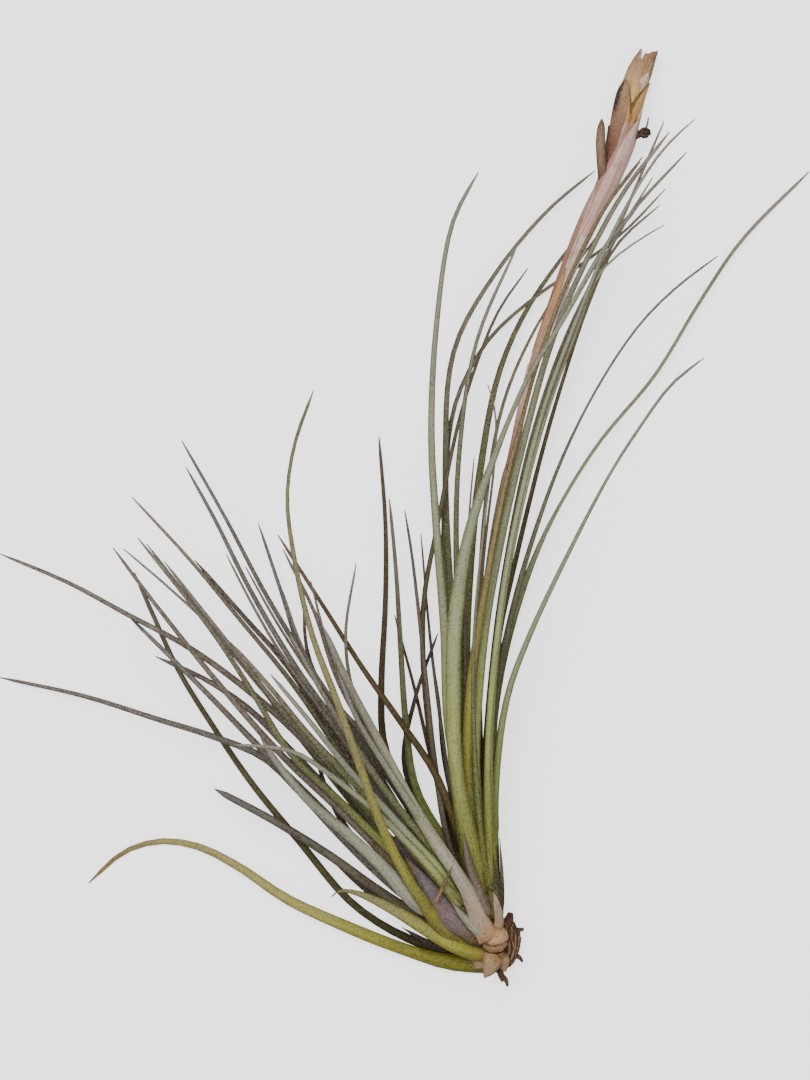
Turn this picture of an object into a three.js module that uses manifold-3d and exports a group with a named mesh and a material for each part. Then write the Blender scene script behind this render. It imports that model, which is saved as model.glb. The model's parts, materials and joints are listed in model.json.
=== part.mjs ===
// A rush-leaved air plant, lifted from its perch and laid on its side: a tall parent rosette with a
// spent flower stem, a leaning young offset beside it, a few old leaves, and the dead woody stub that
// held the plant, with the stumps of its roots.
//
// Millimetres, +Z up. The origin is the middle of the small flat spot under the stub, on which the
// plant lies. +Y runs along the plant from the stub to the flower head.

import * as THREE from 'three';
import { mergeVertices } from 'three/addons/utils/BufferGeometryUtils.js';
import Module from 'manifold-3d';

const wasm = await Module();
wasm.setup();

// ---------------------------------------------------------------- driving dimensions

const CLEARANCE = 0.3;          // air between pieces that touch
const LEAST_THICKNESS = 0.6;    // of a leaf's tip, and of any dry scale
const CUT_TOLERANCE = 0.01;     // slivers thinner than this, left where pieces are cut, are closed up
const SCALE_TOLERANCE = 0.05;   // the same, of the small dry pieces
const LEAF_RATIO = 0.42;        // a blade's thickness over its width
const TIP_WIDTH = 0.28;         // a blade's width at its tip over its widest
const NARROWS = [0.1, 1];       // the stretch in which it narrows from one to the other, by share
const SHEATH_END = 0.2;         // where a leaf's broad foot has become its blade, as a share of length
const SHEATH_SPREAD = 2.1;      // the foot's width over the blade's
const SHEATH_WRAP = 0.7;        // how far a foot's edges reach round its rosette, over half its width
const WRAP_END = 0.28;          // where they have come back level, as a share of length
const GOLDEN_ANGLE = 2.39996;   // between one leaf of a rosette and the next
const SPIRAL_RADIUS = 1.1;      // of the ring that their feet stand on
const STEP_LENGTH = 42;         // of a straight blade between two sections
const STEP_TURN = 0.22;         // radians that a blade turns between two sections

const KNUCKLE = { centre: [1.4, 2.6, 10.2], size: [4.6, 4.9, 4.2], ring: 0.5 };
const STUB = { centre: [2.8, 0.8, 3.4], size: [7, 9.6, 4.8] };
const PARENT_CORE = { from: [1.2, 6.5, 9], to: [-5, 50, 13], radius: 5.2 };
const OFFSET_CORE = { from: [-5.2, 4.6, 9.5], to: [-32, 36, 19], radius: 6 };

// The flower stem's line, from its foot in the parent's heart to the tip of the head.
const STEM_LINE = [
  [-4.6, 44, 13], [-4.2, 75, 14.5], [-2.6, 105, 15], [1.8, 138, 15], [8.1, 167, 14], [14.1, 192, 12],
  [21.8, 214, 11], [30.6, 236, 9.6], [39.6, 256, 8], [44.3, 271, 6], [47.4, 284, 4.8], [52.3, 297, 3.4],
];
const STEM_END = 0.875;         // share of that line where the pink stem gives way to the dry head
const STEM_RADII = [[0, 1.5], [0.5, 1.6], [0.65, 1.9], [0.73, 2.2], [0.83, 3], [0.92, 3.5], [0.96, 4.1],
  [1, 4.8]];
const STEM_BRACTS = [0.4, 0.56, 0.7, 0.82, 0.92];     // where each sheathing bract ends, of the stem
const BRACT_LENGTH = 0.13;      // of a bract's free, swelling end, of the stem
const BRACT_STEP = 0.4;         // how far that end stands off the stem
const HEAD_RADII = [[0, 4.7], [0.3, 4.8], [0.55, 4.5], [0.8, 3.8], [1, 2.2]];
const HEAD_BRACTS = 9;          // in two rows, each over the foot of the next
const HEAD_MIDDLE = [46, 280, 3];

// ---------------------------------------------------------------- leaves

// Each leaf has its blade's width, its heights at the foot, the middle and the tip, and its route
// over the surface, from foot to tip.
const leaf = (width, heights, route, spread = SHEATH_SPREAD, narrows = NARROWS) => ({ width, heights,
  route, spread, narrows });

// A dry scale or a bract has the same form, but it stays broad and is rounded off at its tip.
const scale = (width, heights, route, spread) => leaf(width, heights, route, spread, null);

const PARENT_LEAVES = [
  leaf(3.3, [9, 26, 30], [[0, 8], [-13.3, 70], [-15.2, 105], [-18, 140], [-19.6, 170], [-18, 205],
    [-12.5, 240], [-4, 256.5]]),
  leaf(4.2, [11, 33, 26], [[0, 9], [-11, 55], [-12.4, 85], [-11.6, 110], [-7, 138], [1, 162], [12, 188],
    [24, 208], [38, 232], [50, 247]], SHEATH_SPREAD, [0.42, 0.66]),
  leaf(2.7, [7, 6.5, 2.2], [[0, 7], [-7, 45], [-13, 115], [-14.8, 160], [-12, 198], [2, 224], [20, 245.5],
    [35, 258]]),
  leaf(2.5, [8, 12, 16], [[0, 7], [-6, 45], [-11.2, 125], [-10.2, 165], [-4.5, 201], [9.5, 234]]),
  leaf(2.1, [5, 4.5, 2.2], [[0, 7], [-8, 50], [-14.5, 105], [-14.6, 160], [-11, 182], [-1, 201],
    [12, 213.5], [30, 226.5], [45, 238], [58.5, 252]]),
  leaf(3.3, [6, 5, 1.2], [[1, 8], [-5, 40], [-8.2, 90], [-6.8, 125], [-3, 160], [2.8, 190], [11.3, 210],
    [24, 229], [38, 246], [50, 261]], SHEATH_SPREAD, [0.2, 0.85]),
  leaf(1.9, [6, 6.5, 5], [[1, 7], [-3, 60], [-3.4, 120], [0, 159], [5.2, 183], [16, 207], [36, 237]]),
  leaf(1.5, [9, 21, 24], [[1, 8], [-4, 60], [-3, 120], [1.6, 165], [1.5, 178], [-1, 186.5]]),
  leaf(1.5, [10, 22, 26], [[0, 8], [-7, 60], [-8.4, 110], [-7.3, 140], [-5.5, 162]]),
  leaf(1.7, [10, 28, 32], [[1, 8], [-5, 60], [-5.6, 100], [-3, 133], [0, 158]]),
  leaf(3.3, [10, 25, 14], [[1, 9], [-5, 50], [-2.6, 100], [4, 138], [11.5, 170], [20, 200], [30, 224],
    [44, 250], [59.5, 270.5]]),
  leaf(2.1, [10, 30, 28], [[1, 9], [-1, 60], [3, 110], [9, 145], [18, 180], [30, 212], [42, 240],
    [57, 264], [67.5, 274]]),
  leaf(2.2, [7, 9, 6], [[2, 8], [0, 50], [1, 90], [10, 148], [25, 200], [38, 228], [50, 256],
    [57.9, 274.3]]),
  leaf(2.5, [8, 18, 19], [[2, 8], [-1, 60], [3, 108], [8, 138], [14, 165], [22, 190], [33, 217],
    [45, 241], [65, 263.5]]),
  leaf(2.0, [8, 14, 23], [[1, 8], [-2, 50], [1.4, 100], [7, 138], [14, 170], [24, 200], [38, 229],
    [53.7, 255]]),
  leaf(2.1, [7, 4.5, 3], [[2, 7], [1, 60], [2.6, 100], [8, 126], [17, 163], [23, 184], [33, 214],
    [42, 233], [56.5, 246.5]]),
  leaf(1.7, [9, 23, 32], [[2, 9], [0, 60], [3, 105], [9, 140], [18, 175], [28, 203], [36, 223],
    [46, 232], [57.3, 239]]),
  leaf(3.2, [10, 29, 20], [[1, 9], [-6, 32], [-8, 60], [-6.5, 88], [-3, 112], [3, 145], [9, 170],
    [17, 198], [27, 224], [38, 245], [50.5, 262]], SHEATH_SPREAD, [0.2, 0.56]),
  leaf(2.2, [8, 11, 10], [[2, 8], [-1, 50], [1.4, 80], [7, 110], [14.3, 136], [24.7, 164], [37, 188],
    [50, 207], [62, 219], [75.5, 229.3]], SHEATH_SPREAD, [0.3, 0.72]),
  leaf(3.1, [7, 5, 0.3], [[3, 8], [0.5, 50], [0.4, 70], [2.9, 90], [9.3, 114], [18.7, 138], [35.3, 166],
    [55, 190], [70, 214.5], [84, 235], [106.3, 257.7]], SHEATH_SPREAD, [0.28, 0.5]),
  leaf(2.7, [8, 17, 13], [[3, 8], [1.5, 50], [5.4, 82], [12, 101], [25.3, 129.5], [40, 157.5],
    [50, 173], [60, 186.5], [71, 195.5]], SHEATH_SPREAD, [0.05, 0.75]),
];

const PARENT_DRY_LEAVES = [
  leaf(2.7, [3, 1.4, 1], [[-2, 7], [-22, 38], [-35, 66], [-36.2, 84], [-34.8, 115], [-34.8, 140],
    [-37, 169.5]]),
  leaf(2.7, [8, 9.5, 10], [[-1, 8], [-12, 30], [-24.5, 52], [-28, 74], [-29.8, 100], [-31.3, 125],
    [-33.5, 148.7]]),
  leaf(2.1, [9, 12, 13], [[-1, 9], [-13, 32], [-18, 58], [-21.5, 90], [-24, 113], [-26, 130],
    [-28.4, 145]]),
  leaf(1.6, [5, 5, 4], [[0, 8], [-11, 40], [-16.5, 75], [-20, 103], [-23, 137]]),
  leaf(1.9, [3.5, 2.5, 2], [[-1, 7], [-12, 38], [-19, 60], [-25, 85], [-31.8, 110]]),
  leaf(2.6, [9, 15, 17], [[-1, 10], [-10, 36], [-18, 57], [-30, 75], [-42, 92], [-55, 112.5],
    [-70.5, 136.8]]),
  leaf(2.1, [3, 2, 2], [[0, 8], [-9, 36], [-15.3, 62], [-17.2, 82], [-19.8, 98]]),
  leaf(2.4, [6, 6, 6], [[-3, 8], [-18, 37], [-28.5, 60], [-25, 82], [-20, 97], [-17.3, 104]]),
  leaf(2.1, [6, 8, 11], [[-1, 9], [-10.5, 32], [-17, 52], [-22, 90], [-22, 115], [-17.5, 140],
    [-10.5, 174], [-4, 195], [3, 211.5], [12.7, 225.5]]),
];

const OFFSET_LEAVES = [
  leaf(2.9, [9, 24, 18], [[-6, 4], [-25, 24], [-45, 50], [-62, 69], [-78, 83.5], [-99, 99],
    [-120, 110.3], [-140, 121], [-162.5, 130.4]]),
  leaf(2.9, [7.5, 9.5, 0.3], [[-6, 3], [-29, 17], [-49, 36], [-62, 50], [-75, 62.5], [-91, 69.3],
    [-110, 75.2], [-135, 83], [-163.5, 89.2]]),
  leaf(2.8, [10, 31, 30], [[-6, 4], [-26, 22], [-50, 46], [-68, 63], [-90, 88], [-110, 113],
    [-124.7, 132.5]]),
  leaf(1.8, [8, 15, 22], [[-6, 4], [-28, 26], [-52, 55], [-70, 78], [-86, 99.5], [-104, 117],
    [-121.6, 132.2]]),
  leaf(2.7, [11, 34, 40], [[-5, 4], [-28, 27], [-50, 49], [-66, 64.5], [-78, 84], [-90, 102.5],
    [-103, 119.5], [-116.3, 135.8]]),
  leaf(2.0, [9, 21, 34], [[-6, 4], [-28, 28], [-55, 62], [-75, 85], [-92, 106], [-113.5, 133.8]]),
  leaf(2.5, [10, 28, 46], [[-5, 5], [-28, 30], [-52, 59], [-70, 80], [-86, 100.5], [-107.4, 128]]),
  leaf(2.3, [8, 17, 20], [[-5, 5], [-25, 30], [-48, 62], [-66, 88], [-83.3, 109], [-100, 129],
    [-118.8, 149.3]]),
  leaf(3.0, [9, 24, 28], [[-5, 5], [-26, 32], [-50, 68], [-68, 94.5], [-80, 108], [-97.9, 128.5]]),
  leaf(2.4, [7, 11.5, 14], [[-4, 6], [-22, 32], [-42, 65], [-60, 93], [-74, 116], [-88, 142.5],
    [-102.4, 168]]),
  leaf(2.7, [10, 31, 38], [[-4, 6], [-24, 34], [-45, 66], [-63, 91], [-79, 118], [-91, 142],
    [-100.4, 159]]),
  leaf(1.9, [10, 34, 50], [[-5, 5], [-25, 33], [-50, 71], [-68, 96], [-78, 113], [-87, 130.5]]),
  leaf(1.8, [9, 19, 30], [[-4, 6], [-24, 36], [-48, 74], [-62, 94], [-72, 110], [-81, 126.3]]),
  leaf(2.5, [7, 9, 10], [[-3, 6], [-20, 35], [-40, 65], [-54, 83], [-62.5, 97], [-69.5, 118],
    [-77, 140.5]]),
  leaf(1.9, [9, 21, 30], [[-3, 6], [-22, 38], [-42, 70], [-57, 89], [-64, 104], [-68.5, 118]]),
  leaf(2.4, [9, 27, 40], [[-3, 6], [-20, 36], [-38, 66], [-51, 90], [-58, 111], [-68.5, 132]]),
  leaf(2.0, [8, 15, 24], [[-2, 7], [-18, 36], [-36, 66], [-48, 86], [-55, 104], [-59.4, 121.5]]),
  leaf(2.5, [6, 6.5, 6], [[-3, 6], [-22, 39], [-42, 70], [-56, 86], [-61, 99], [-62, 115]]),
  leaf(2.0, [9, 17, 18], [[-2, 7], [-18, 34], [-34, 61], [-45, 83], [-48, 103], [-44.5, 127.2]]),
  leaf(4.3, [12, 31, 34], [[-1, 7], [-8, 20], [-17, 33.5], [-26, 48], [-36, 67], [-46, 86],
    [-55.5, 107]]),
  leaf(3.5, [8, 17, 14], [[-6, 4], [-30, 26], [-52, 50], [-67, 66], [-80, 79], [-94, 88.5],
    [-111.2, 96.4]]),
  leaf(3.1, [9, 21, 20], [[-6, 3], [-28, 20], [-48, 38], [-64, 54], [-79, 69], [-95, 85.5],
    [-120, 110]]),
  leaf(2.7, [13, 37, 40], [[-5, 6], [-20, 27], [-38, 45.5], [-52, 57], [-64, 65], [-74, 67],
    [-84.5, 67.6]]),
  leaf(4.6, [11, 34, 30], [[-7, 3], [-24, 14], [-35, 26.5], [-47, 38], [-60, 49], [-70, 61],
    [-76, 70]]),
  leaf(3.1, [9, 24, 24], [[-6, 4], [-27, 23], [-45, 41], [-58, 54], [-67, 66], [-73.5, 76]]),
  leaf(3.0, [13, 38, 46], [[-4, 8], [-15, 24], [-25, 35], [-36, 47.5], [-48, 61], [-60, 76],
    [-72.5, 91]]),
  leaf(3.2, [12, 34, 42], [[-2, 8], [-12, 26], [-22, 41], [-33, 58], [-44, 76], [-50.5, 92]]),
  leaf(2.9, [12, 35, 48], [[-3, 7], [-17, 30], [-30, 46], [-43, 64.5], [-55, 84], [-66, 104]]),
  leaf(3.2, [12, 38, 50], [[-4, 6], [-25, 32], [-45, 55], [-60, 71], [-72, 86], [-85.5, 101.5]]),
  leaf(3.2, [8, 13, 14], [[-6, 4], [-30, 22], [-46, 37], [-53.5, 50], [-57.5, 62]]),
];

const OFFSET_DRY_LEAVES = [
  leaf(3.3, [4.5, 7, 6], [[-6, 2], [-22, 9], [-38, 19], [-52.5, 29.5], [-70, 40.5], [-91.7, 52.2]],
    SHEATH_SPREAD, [0, 1.6]),
  scale(4.4, [3.2, 2.8, 3], [[-6, 1], [-25, 8], [-42, 19.5], [-53, 28.5]], 1.5),
  scale(3, [2.5, 2.2, 2], [[-5, 0], [-18, 0], [-29.5, 6]], 1.3),
];

const OLD_LEAVES = {
  old_leaf_long: leaf(3.6, [4.5, 2.2, 0.3], [[0, -6.5], [-15, -5.6], [-30, -0.8], [-50, 7.2],
    [-68, 15.6], [-83, 25.7], [-97, 32.8], [-110, 34.6], [-122, 31], [-133.7, 20.7]], 1.5,
    [0.3, 0.95]),
  old_leaf_short: scale(4.1, [12, 17, 20], [[-2, -3.6], [-10, -0.6], [-20, 5], [-32, 12.4],
    [-44, 18], [-50, 18.8], [-53, 16.6]], 1.3),
  old_leaf_dark: leaf(2.6, [2.2, 1.4, 1.2], [[-4, -3.5], [-19, -0.9], [-33, 5], [-47, 15], [-63, 34],
    [-79, 53.5], [-92, 72.5], [-104, 92], [-112, 109.5], [-118.5, 124.2]], 1.3, [0, 1.25]),
  old_leaf_upright: leaf(3.1, [17, 55, 50], [[-14, 4.5], [-22, 14.5], [-29, 26], [-36, 41],
    [-43.5, 62], [-50.5, 82], [-59, 105], [-65, 132], [-66.8, 149], [-64.5, 166], [-58.3, 184]], 1.5,
    [0.1, 0.85]),
};

const UPRIGHT_SCALES = [
  scale(4.2, [16, 19.4, 20.5], [[-0.6, 10.5], [-3.8, 18], [-7.2, 28], [-9, 38]], 1.2),
  scale(3.2, [15, 17.2, 17.6], [[3.2, 6.5], [2.6, 12], [1.2, 18]], 1.2),
  scale(1.3, [8, 9, 10], [[4.4, 7], [4.6, 20], [3.6, 36]], 1.6),
];
const BASE_SCALES = [
  scale(4.6, [9.4, 8.8, 7.4], [[-1.6, -2.2], [-3.4, -5], [-5.2, -7.6]], 0.9),
  scale(5, [11.4, 11.2, 10.4], [[1, -2.4], [0.2, -6.2], [-2, -10.5]], 0.9),
  scale(4.2, [9.2, 9, 8.6], [[3.4, -2.2], [4.3, -5.4], [5.2, -8.6]], 0.9),
];
const LEAFY_BRACT = scale(3.1, [13, 13, 9.4], [[35.2, 248.6], [35.6, 258], [36.2, 267], [37.1, 275.2]], 0.9);
const DRY_STRIP = scale(1.6, [24, 25.5, 27], [[-18.2, 15.4], [-15.2, 21.6], [-12.7, 27.2]], 1);

// Bracts of the head that stand out of its rows: one down its left side, and the two beaks at its end.
const HEAD_EDGE_BRACT = scale(5, [9, 9.2, 7.4], [[39.2, 262], [40.8, 274], [44, 287.5]], 0.9);
const HEAD_BEAKS = [
  scale(3.2, [6, 6.4, 5.4], [[46.4, 285], [48.2, 292], [50.4, 297.4]], 1),
  scale(3.2, [5.2, 5.6, 4.6], [[49.6, 286], [52.4, 292], [55.1, 298.4]], 1),
];

// The dried flower and its twig, and the dead roots: each a rod with its radii or its thickness.
const DRIED_FLOWER = [
  [[[0, 0.8], [0.4, 1.5], [0.65, 1.9], [1, 0.9]], [[47, 268.2, 7.8], [49.6, 269.5, 8.3], [51.2, 270.2, 8.4],
    [52.9, 270.8, 8.2]]],
  [[[0, 0.45], [1, 0.35]], [[51.2, 270.8, 8.6], [52.2, 273, 9], [52.6, 275.6, 9.2]]],
];
const DEAD_ROOTS = [
  [2, [[5.5, 6.5, 4.5], [6.4, 9, 4.8], [6.8, 11, 5]]],
  [1.1, [[7.5, 4.5, 4], [9.6, 5.2, 4.2], [11.2, 5.4, 3.6]]],
  [1, [[8, -3, 4], [9.8, -4, 3.4], [10.8, -5.4, 2.6]]],
  [1.4, [[3.2, -7, 3.4], [3.6, -9.6, 3], [4.3, -12, 2.4]]],
  [1, [[3.8, -10, 3], [5.2, -11.4, 2.4], [5.9, -13.6, 1.6]]],
];

// ---------------------------------------------------------------- solids

const vector = (p) => new THREE.Vector3(...p);
const clamp = (value, low, high) => Math.min(Math.max(value, low), high);
const mix = (a, b, share) => a + (b - a) * share;

/** 0 before the start, 1 after the end, and smooth between. */
function ramp(value, start, end) {
  const share = clamp((value - start) / (end - start), 0, 1);
  return share * share * (3 - 2 * share);
}

/** The value at a place in a list of [place, value] pairs. */
function lookUp(pairs, place) {
  const next = pairs.findIndex(([at]) => at >= place);
  if (next <= 0) return next === 0 ? pairs[0][1] : pairs.at(-1)[1];
  const [[a, low], [b, high]] = [pairs[next - 1], pairs[next]];
  return mix(low, high, (place - a) / (b - a));
}

/** A closed three.js geometry as a solid that can be cut and joined. */
function solidOf(geometry) {
  const bare = geometry.clone();
  bare.deleteAttribute('normal');
  bare.deleteAttribute('uv');
  const merged = mergeVertices(bare, 1e-4);
  return new wasm.Manifold(new wasm.Mesh({
    numProp: 3,
    vertProperties: new Float32Array(merged.attributes.position.array),
    triVerts: new Uint32Array(merged.index.array),
  }));
}

/** The largest body of a solid: scraps that a cut has loosened are left out. */
function largest(solid) {
  const bodies = solid.decompose();
  return bodies.reduce((best, body) => (body.volume() > best.volume() ? body : best));
}

/** Several solids as one. */
const joined = (solids) => wasm.Manifold.union(solids);

/** A solid through rings of equally many points, closed by a flat cap at each end. */
function loft(rings) {
  const sides = rings[0].length;
  const positions = rings.flat().flatMap((p) => [p.x, p.y, p.z]);
  const index = [];
  for (let r = 0; r + 1 < rings.length; r += 1) {
    for (let i = 0; i < sides; i += 1) {
      const a = r * sides + i;
      const b = r * sides + ((i + 1) % sides);
      index.push(a, b, b + sides, a, b + sides, a + sides);
    }
  }
  const last = (rings.length - 1) * sides;
  for (let i = 1; i + 1 < sides; i += 1) {
    index.push(0, i + 1, i, last, last + i, last + i + 1);
  }
  const geometry = new THREE.BufferGeometry();
  geometry.setAttribute('position', new THREE.Float32BufferAttribute(positions, 3));
  geometry.setIndex(index);
  return solidOf(geometry);
}

/** A leaf's height above the surface at a share of its length: the parabola through its three heights. */
function leafHeight([foot, middle, tip], share) {
  return foot * (1 - share) * (1 - 2 * share) + middle * 4 * share * (1 - share)
    + tip * share * (2 * share - 1);
}

/** The smooth line that a leaf follows, from its foot to its tip. */
function leafLine({ heights, route }) {
  const flat = new THREE.CatmullRomCurve3(route.map(([x, y]) => vector([x, y, 0])), false, 'centripetal');
  const samples = 4 * route.length;
  const points = flat.getSpacedPoints(samples).map((p, i) => vector([p.x, p.y,
    leafHeight(heights, i / samples)]));
  return new THREE.CatmullRomCurve3(points, false, 'centripetal');
}

/** How far a line turns in all, in radians. */
function lineTurn(line) {
  const tangents = Array.from({ length: 17 }, (_, i) => line.getTangentAt(i / 16));
  return tangents.slice(1).reduce((sum, along, i) => sum + along.angleTo(tangents[i]), 0);
}

/** The width of a leaf at a share of its length: a broad foot, then a blade that narrows to its tip. */
function leafWidth({ width, spread, narrows }, share) {
  const foot = mix(spread, 1, ramp(share, 0, SHEATH_END));
  const blade = narrows
    ? mix(1, TIP_WIDTH, clamp((share - narrows[0]) / (narrows[1] - narrows[0]), 0, 1))
    : (1 - share ** 2.5) ** 0.9;
  return Math.max(LEAST_THICKNESS, width * foot * blade);
}

/**
 * A leaf as one solid, with a keeled back, a shallow channel in front and a blunt tip. It turns the
 * channel to the axis of its rosette at the foot, and lies level further out. A grown leaf is larger
 * by the given amount on every side.
 */
function leafSolid(shape, axis, grown = 0) {
  const line = leafLine(shape);
  const steps = clamp(Math.round(line.getLength() / STEP_LENGTH + lineTurn(line) / STEP_TURN), 4, 14);
  const out = line.getPointAt(SHEATH_END).sub(vector(axis)).normalize();
  const level = vector([0, 0, out.z < 0 ? -1 : 1]);
  const rings = [];
  for (let i = 0; i <= steps; i += 1) {
    const share = i / steps;
    const along = line.getTangentAt(share);
    const centre = line.getPointAt(share).addScaledVector(along, i === 0 ? -grown : i === steps ? grown : 0);
    const back = out.clone().lerp(level, ramp(share, 0.05, 0.45));
    back.addScaledVector(along, -back.dot(along)).normalize();
    const side = along.clone().cross(back).normalize();
    const width = leafWidth(shape, share);
    const half = width / 2 + grown;
    const thick = Math.max(LEAST_THICKNESS, Math.min(width * LEAF_RATIO, shape.width * LEAF_RATIO));
    const drop = -half * SHEATH_WRAP * (1 - ramp(share, 0, WRAP_END));
    const section = [[0, -thick * 0.45 - grown], [-half, drop], [-half * 0.5, thick * 0.55 + grown],
      [half * 0.5, thick * 0.55 + grown], [half, drop]];
    rings.push(section.map(([across, up]) => {
      const point = centre.clone().addScaledVector(side, across).addScaledVector(back, up);
      point.z = Math.max(point.z, 0);
      return point;
    }));
  }
  return loft(rings);
}

/** A spindle between two points, which the leaves of a rosette stand out of. */
function coreSolid({ from, to, radius }, grown = 0) {
  const [start, end] = [vector(from), vector(to)];
  const length = start.distanceTo(end);
  const profile = [[0, -grown], [0.7, -grown], [1, 0.2 * length], [0.85, 0.5 * length],
    [0.55, length + grown], [0, length + grown]];
  const points = profile.map(([share, y]) => new THREE.Vector2(share && share * radius + grown, y));
  const spindle = new THREE.LatheGeometry(points, 10);
  spindle.applyQuaternion(new THREE.Quaternion().setFromUnitVectors(
    vector([0, 1, 0]), end.clone().sub(start).normalize()));
  spindle.translate(...from);
  return solidOf(spindle);
}

/** A leaf with its foot moved to its own place in the spiral that a rosette's leaves grow in. */
function inSpiral(shape, order) {
  const turn = order * GOLDEN_ANGLE;
  const [[x, y], ...rest] = shape.route;
  const [foot, ...outer] = shape.heights;
  return {
    ...shape,
    route: [[x + SPIRAL_RADIUS * Math.cos(turn), y + 0.07 * order], ...rest],
    heights: [foot + SPIRAL_RADIUS * Math.sin(turn), ...outer],
  };
}

/** A rosette: its core and every leaf, as one body. */
function rosetteSolid(leaves, core, grown = 0) {
  return joined([coreSolid(core, grown), ...leaves.map((shape, order) => leafSolid(inSpiral(shape, order),
    core.from, grown))]);
}

/** A round rod along a line, with a section at each station and a radius from [share, radius] pairs. */
function rodSolid(points, radii, sides, stations, grown = 0) {
  const line = new THREE.CatmullRomCurve3(points.map(vector), false, 'centripetal');
  return loft(stations.map((share) => {
    const along = line.getTangentAt(share);
    const centre = line.getPointAt(share).addScaledVector(along, grown * Math.sign(share - 0.5)
      * (share === 0 || share === 1));
    const side = along.clone().cross(vector([0, 0, 1])).normalize();
    const up = side.clone().cross(along);
    const radius = lookUp(radii, share) + grown;
    return Array.from({ length: sides }, (_, k) => {
      const turn = (-2 * Math.PI * k) / sides;
      const point = centre.clone().addScaledVector(side, radius * Math.cos(turn))
        .addScaledVector(up, radius * Math.sin(turn));
      point.z = Math.max(point.z, 0);
      return point;
    });
  }));
}

/** The stretch of the flower stem's line between two shares of it. */
function stemStretch(from, to, count) {
  const line = new THREE.CatmullRomCurve3(STEM_LINE.map(vector), false, 'centripetal');
  return Array.from({ length: count }, (_, i) => line.getPointAt(mix(from, to, i / (count - 1))).toArray());
}

/** The pink stem: slim below, swelling to the head, with a step where each sheathing bract ends. */
function flowerStem(grown) {
  const radii = STEM_BRACTS.reduce((pairs, end) => {
    const radius = lookUp(STEM_RADII, end);
    const kept = pairs.filter(([at]) => at < end - BRACT_LENGTH || at > end + 0.01);
    return [...kept, [end - BRACT_LENGTH, lookUp(STEM_RADII, end - BRACT_LENGTH)],
      [end, radius + BRACT_STEP], [end + 0.01, radius]].sort((a, b) => a[0] - b[0]);
  }, STEM_RADII);
  return rodSolid(stemStretch(0, STEM_END, 24), radii, 9, radii.map(([share]) => share), grown);
}

/** The spent head: a slim core with two rows of pointed bracts, each row over its own side. */
function flowerHead(grown) {
  const start = STEM_END + 0.001;
  const core = rodSolid(stemStretch(start, 1, 6), HEAD_RADII, 8, [0, 0.3, 0.6, 0.85, 1], grown);
  const bracts = Array.from({ length: HEAD_BRACTS }, (_, i) => {
    const share = i / HEAD_BRACTS;
    const turn = (i % 2 ? -1 : 1) * 0.9 + (i % 3 - 1) * 0.35;
    return headBract(mix(start, 0.965, share), turn, grown);
  });
  const single = [HEAD_EDGE_BRACT, ...HEAD_BEAKS].map((shape) => leafSolid(shape, HEAD_MIDDLE, grown));
  return joined([core, ...bracts, ...single]);
}

/** One bract of the head, from a place on the line, leaning out at a turn from straight up. */
function headBract(place, turn, grown) {
  const line = new THREE.CatmullRomCurve3(STEM_LINE.map(vector), false, 'centripetal');
  const share = (place - STEM_END) / (1 - STEM_END);
  const radius = lookUp(HEAD_RADII, share);
  const foot = line.getPointAt(place);
  const along = line.getTangentAt(place);
  const side = along.clone().cross(vector([0, 0, 1])).normalize();
  const out = side.multiplyScalar(Math.sin(turn)).add(vector([0, 0, Math.cos(turn)]));
  const point = (ahead, off) => foot.clone().addScaledVector(along, ahead).addScaledVector(out, off);
  const points = [point(0, radius * 0.5), point(4, radius * 0.95), point(8, radius), point(11, radius * 0.8)];
  const heights = [points[0].z, (points[1].z + points[2].z) / 2, points[3].z];
  const shape = scale(mix(4.4, 3.2, share), heights, points.map((p) => [p.x, p.y]), 0.8);
  return leafSolid(shape, foot.toArray(), grown);
}

/** The tan knuckle, with the crease that the last shed leaf left round its upper end. */
function knuckle(grown) {
  const { centre, size, ring } = KNUCKLE;
  const ball = new THREE.SphereGeometry(1, 12, 9);
  const at = ball.attributes.position;
  for (let i = 0; i < at.count; i += 1) {
    const p = new THREE.Vector3().fromBufferAttribute(at, i);
    const crease = 1 - (ring / size[1]) * Math.exp(-(((p.y - 0.45) / 0.12) ** 2));
    at.setXYZ(i, centre[0] + p.x * crease * (size[0] + grown), centre[1] + p.y * (size[1] + grown),
      centre[2] + p.z * crease * (size[2] + grown));
  }
  return solidOf(ball);
}

/** The dead stub: a rough lump with a flat spot under it, and what is left of its roots. */
function woodyStub(grown) {
  const { centre, size } = STUB;
  const lump = new THREE.SphereGeometry(1, 13, 9);
  const at = lump.attributes.position;
  for (let i = 0; i < at.count; i += 1) {
    const p = new THREE.Vector3().fromBufferAttribute(at, i);
    const rough = 1 + 0.09 * Math.sin(7 * p.x + 4 * p.y) * Math.cos(6 * p.y - 3 * p.z);
    at.setXYZ(i, ...[0, 1, 2].map((k) => centre[k] + p.getComponent(k) * rough * (size[k] + grown)));
  }
  const roots = DEAD_ROOTS.map(([thick, points]) => rodSolid(points, [[0, thick], [1, thick * 0.5]], 6,
    [0, 0.35, 0.7, 1], grown));
  return joined([solidOf(lump), ...roots]).trimByPlane([0, 0, 1], -grown);
}

// ---------------------------------------------------------------- assembly

const LOOKS = {
  greenLeaf: { color: 0x8a9060, roughness: 0.75 },
  oliveLeaf: { color: 0x6e5f41, roughness: 0.75 },
  greyLeaf: { color: 0x8f9182, roughness: 0.8 },
  darkLeaf: { color: 0x3f3126, roughness: 0.8 },
  oldLeaf: { color: 0xa5a050, roughness: 0.7 },
  pinkStem: { color: 0xc8a5a0, roughness: 0.7 },
  tanBract: { color: 0xbe9b69, roughness: 0.85 },
  brownBract: { color: 0x6b4a2e, roughness: 0.85 },
  knuckle: { color: 0xaa825a, roughness: 0.8 },
  deadWood: { color: 0x3c281e, roughness: 0.9 },
};

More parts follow.
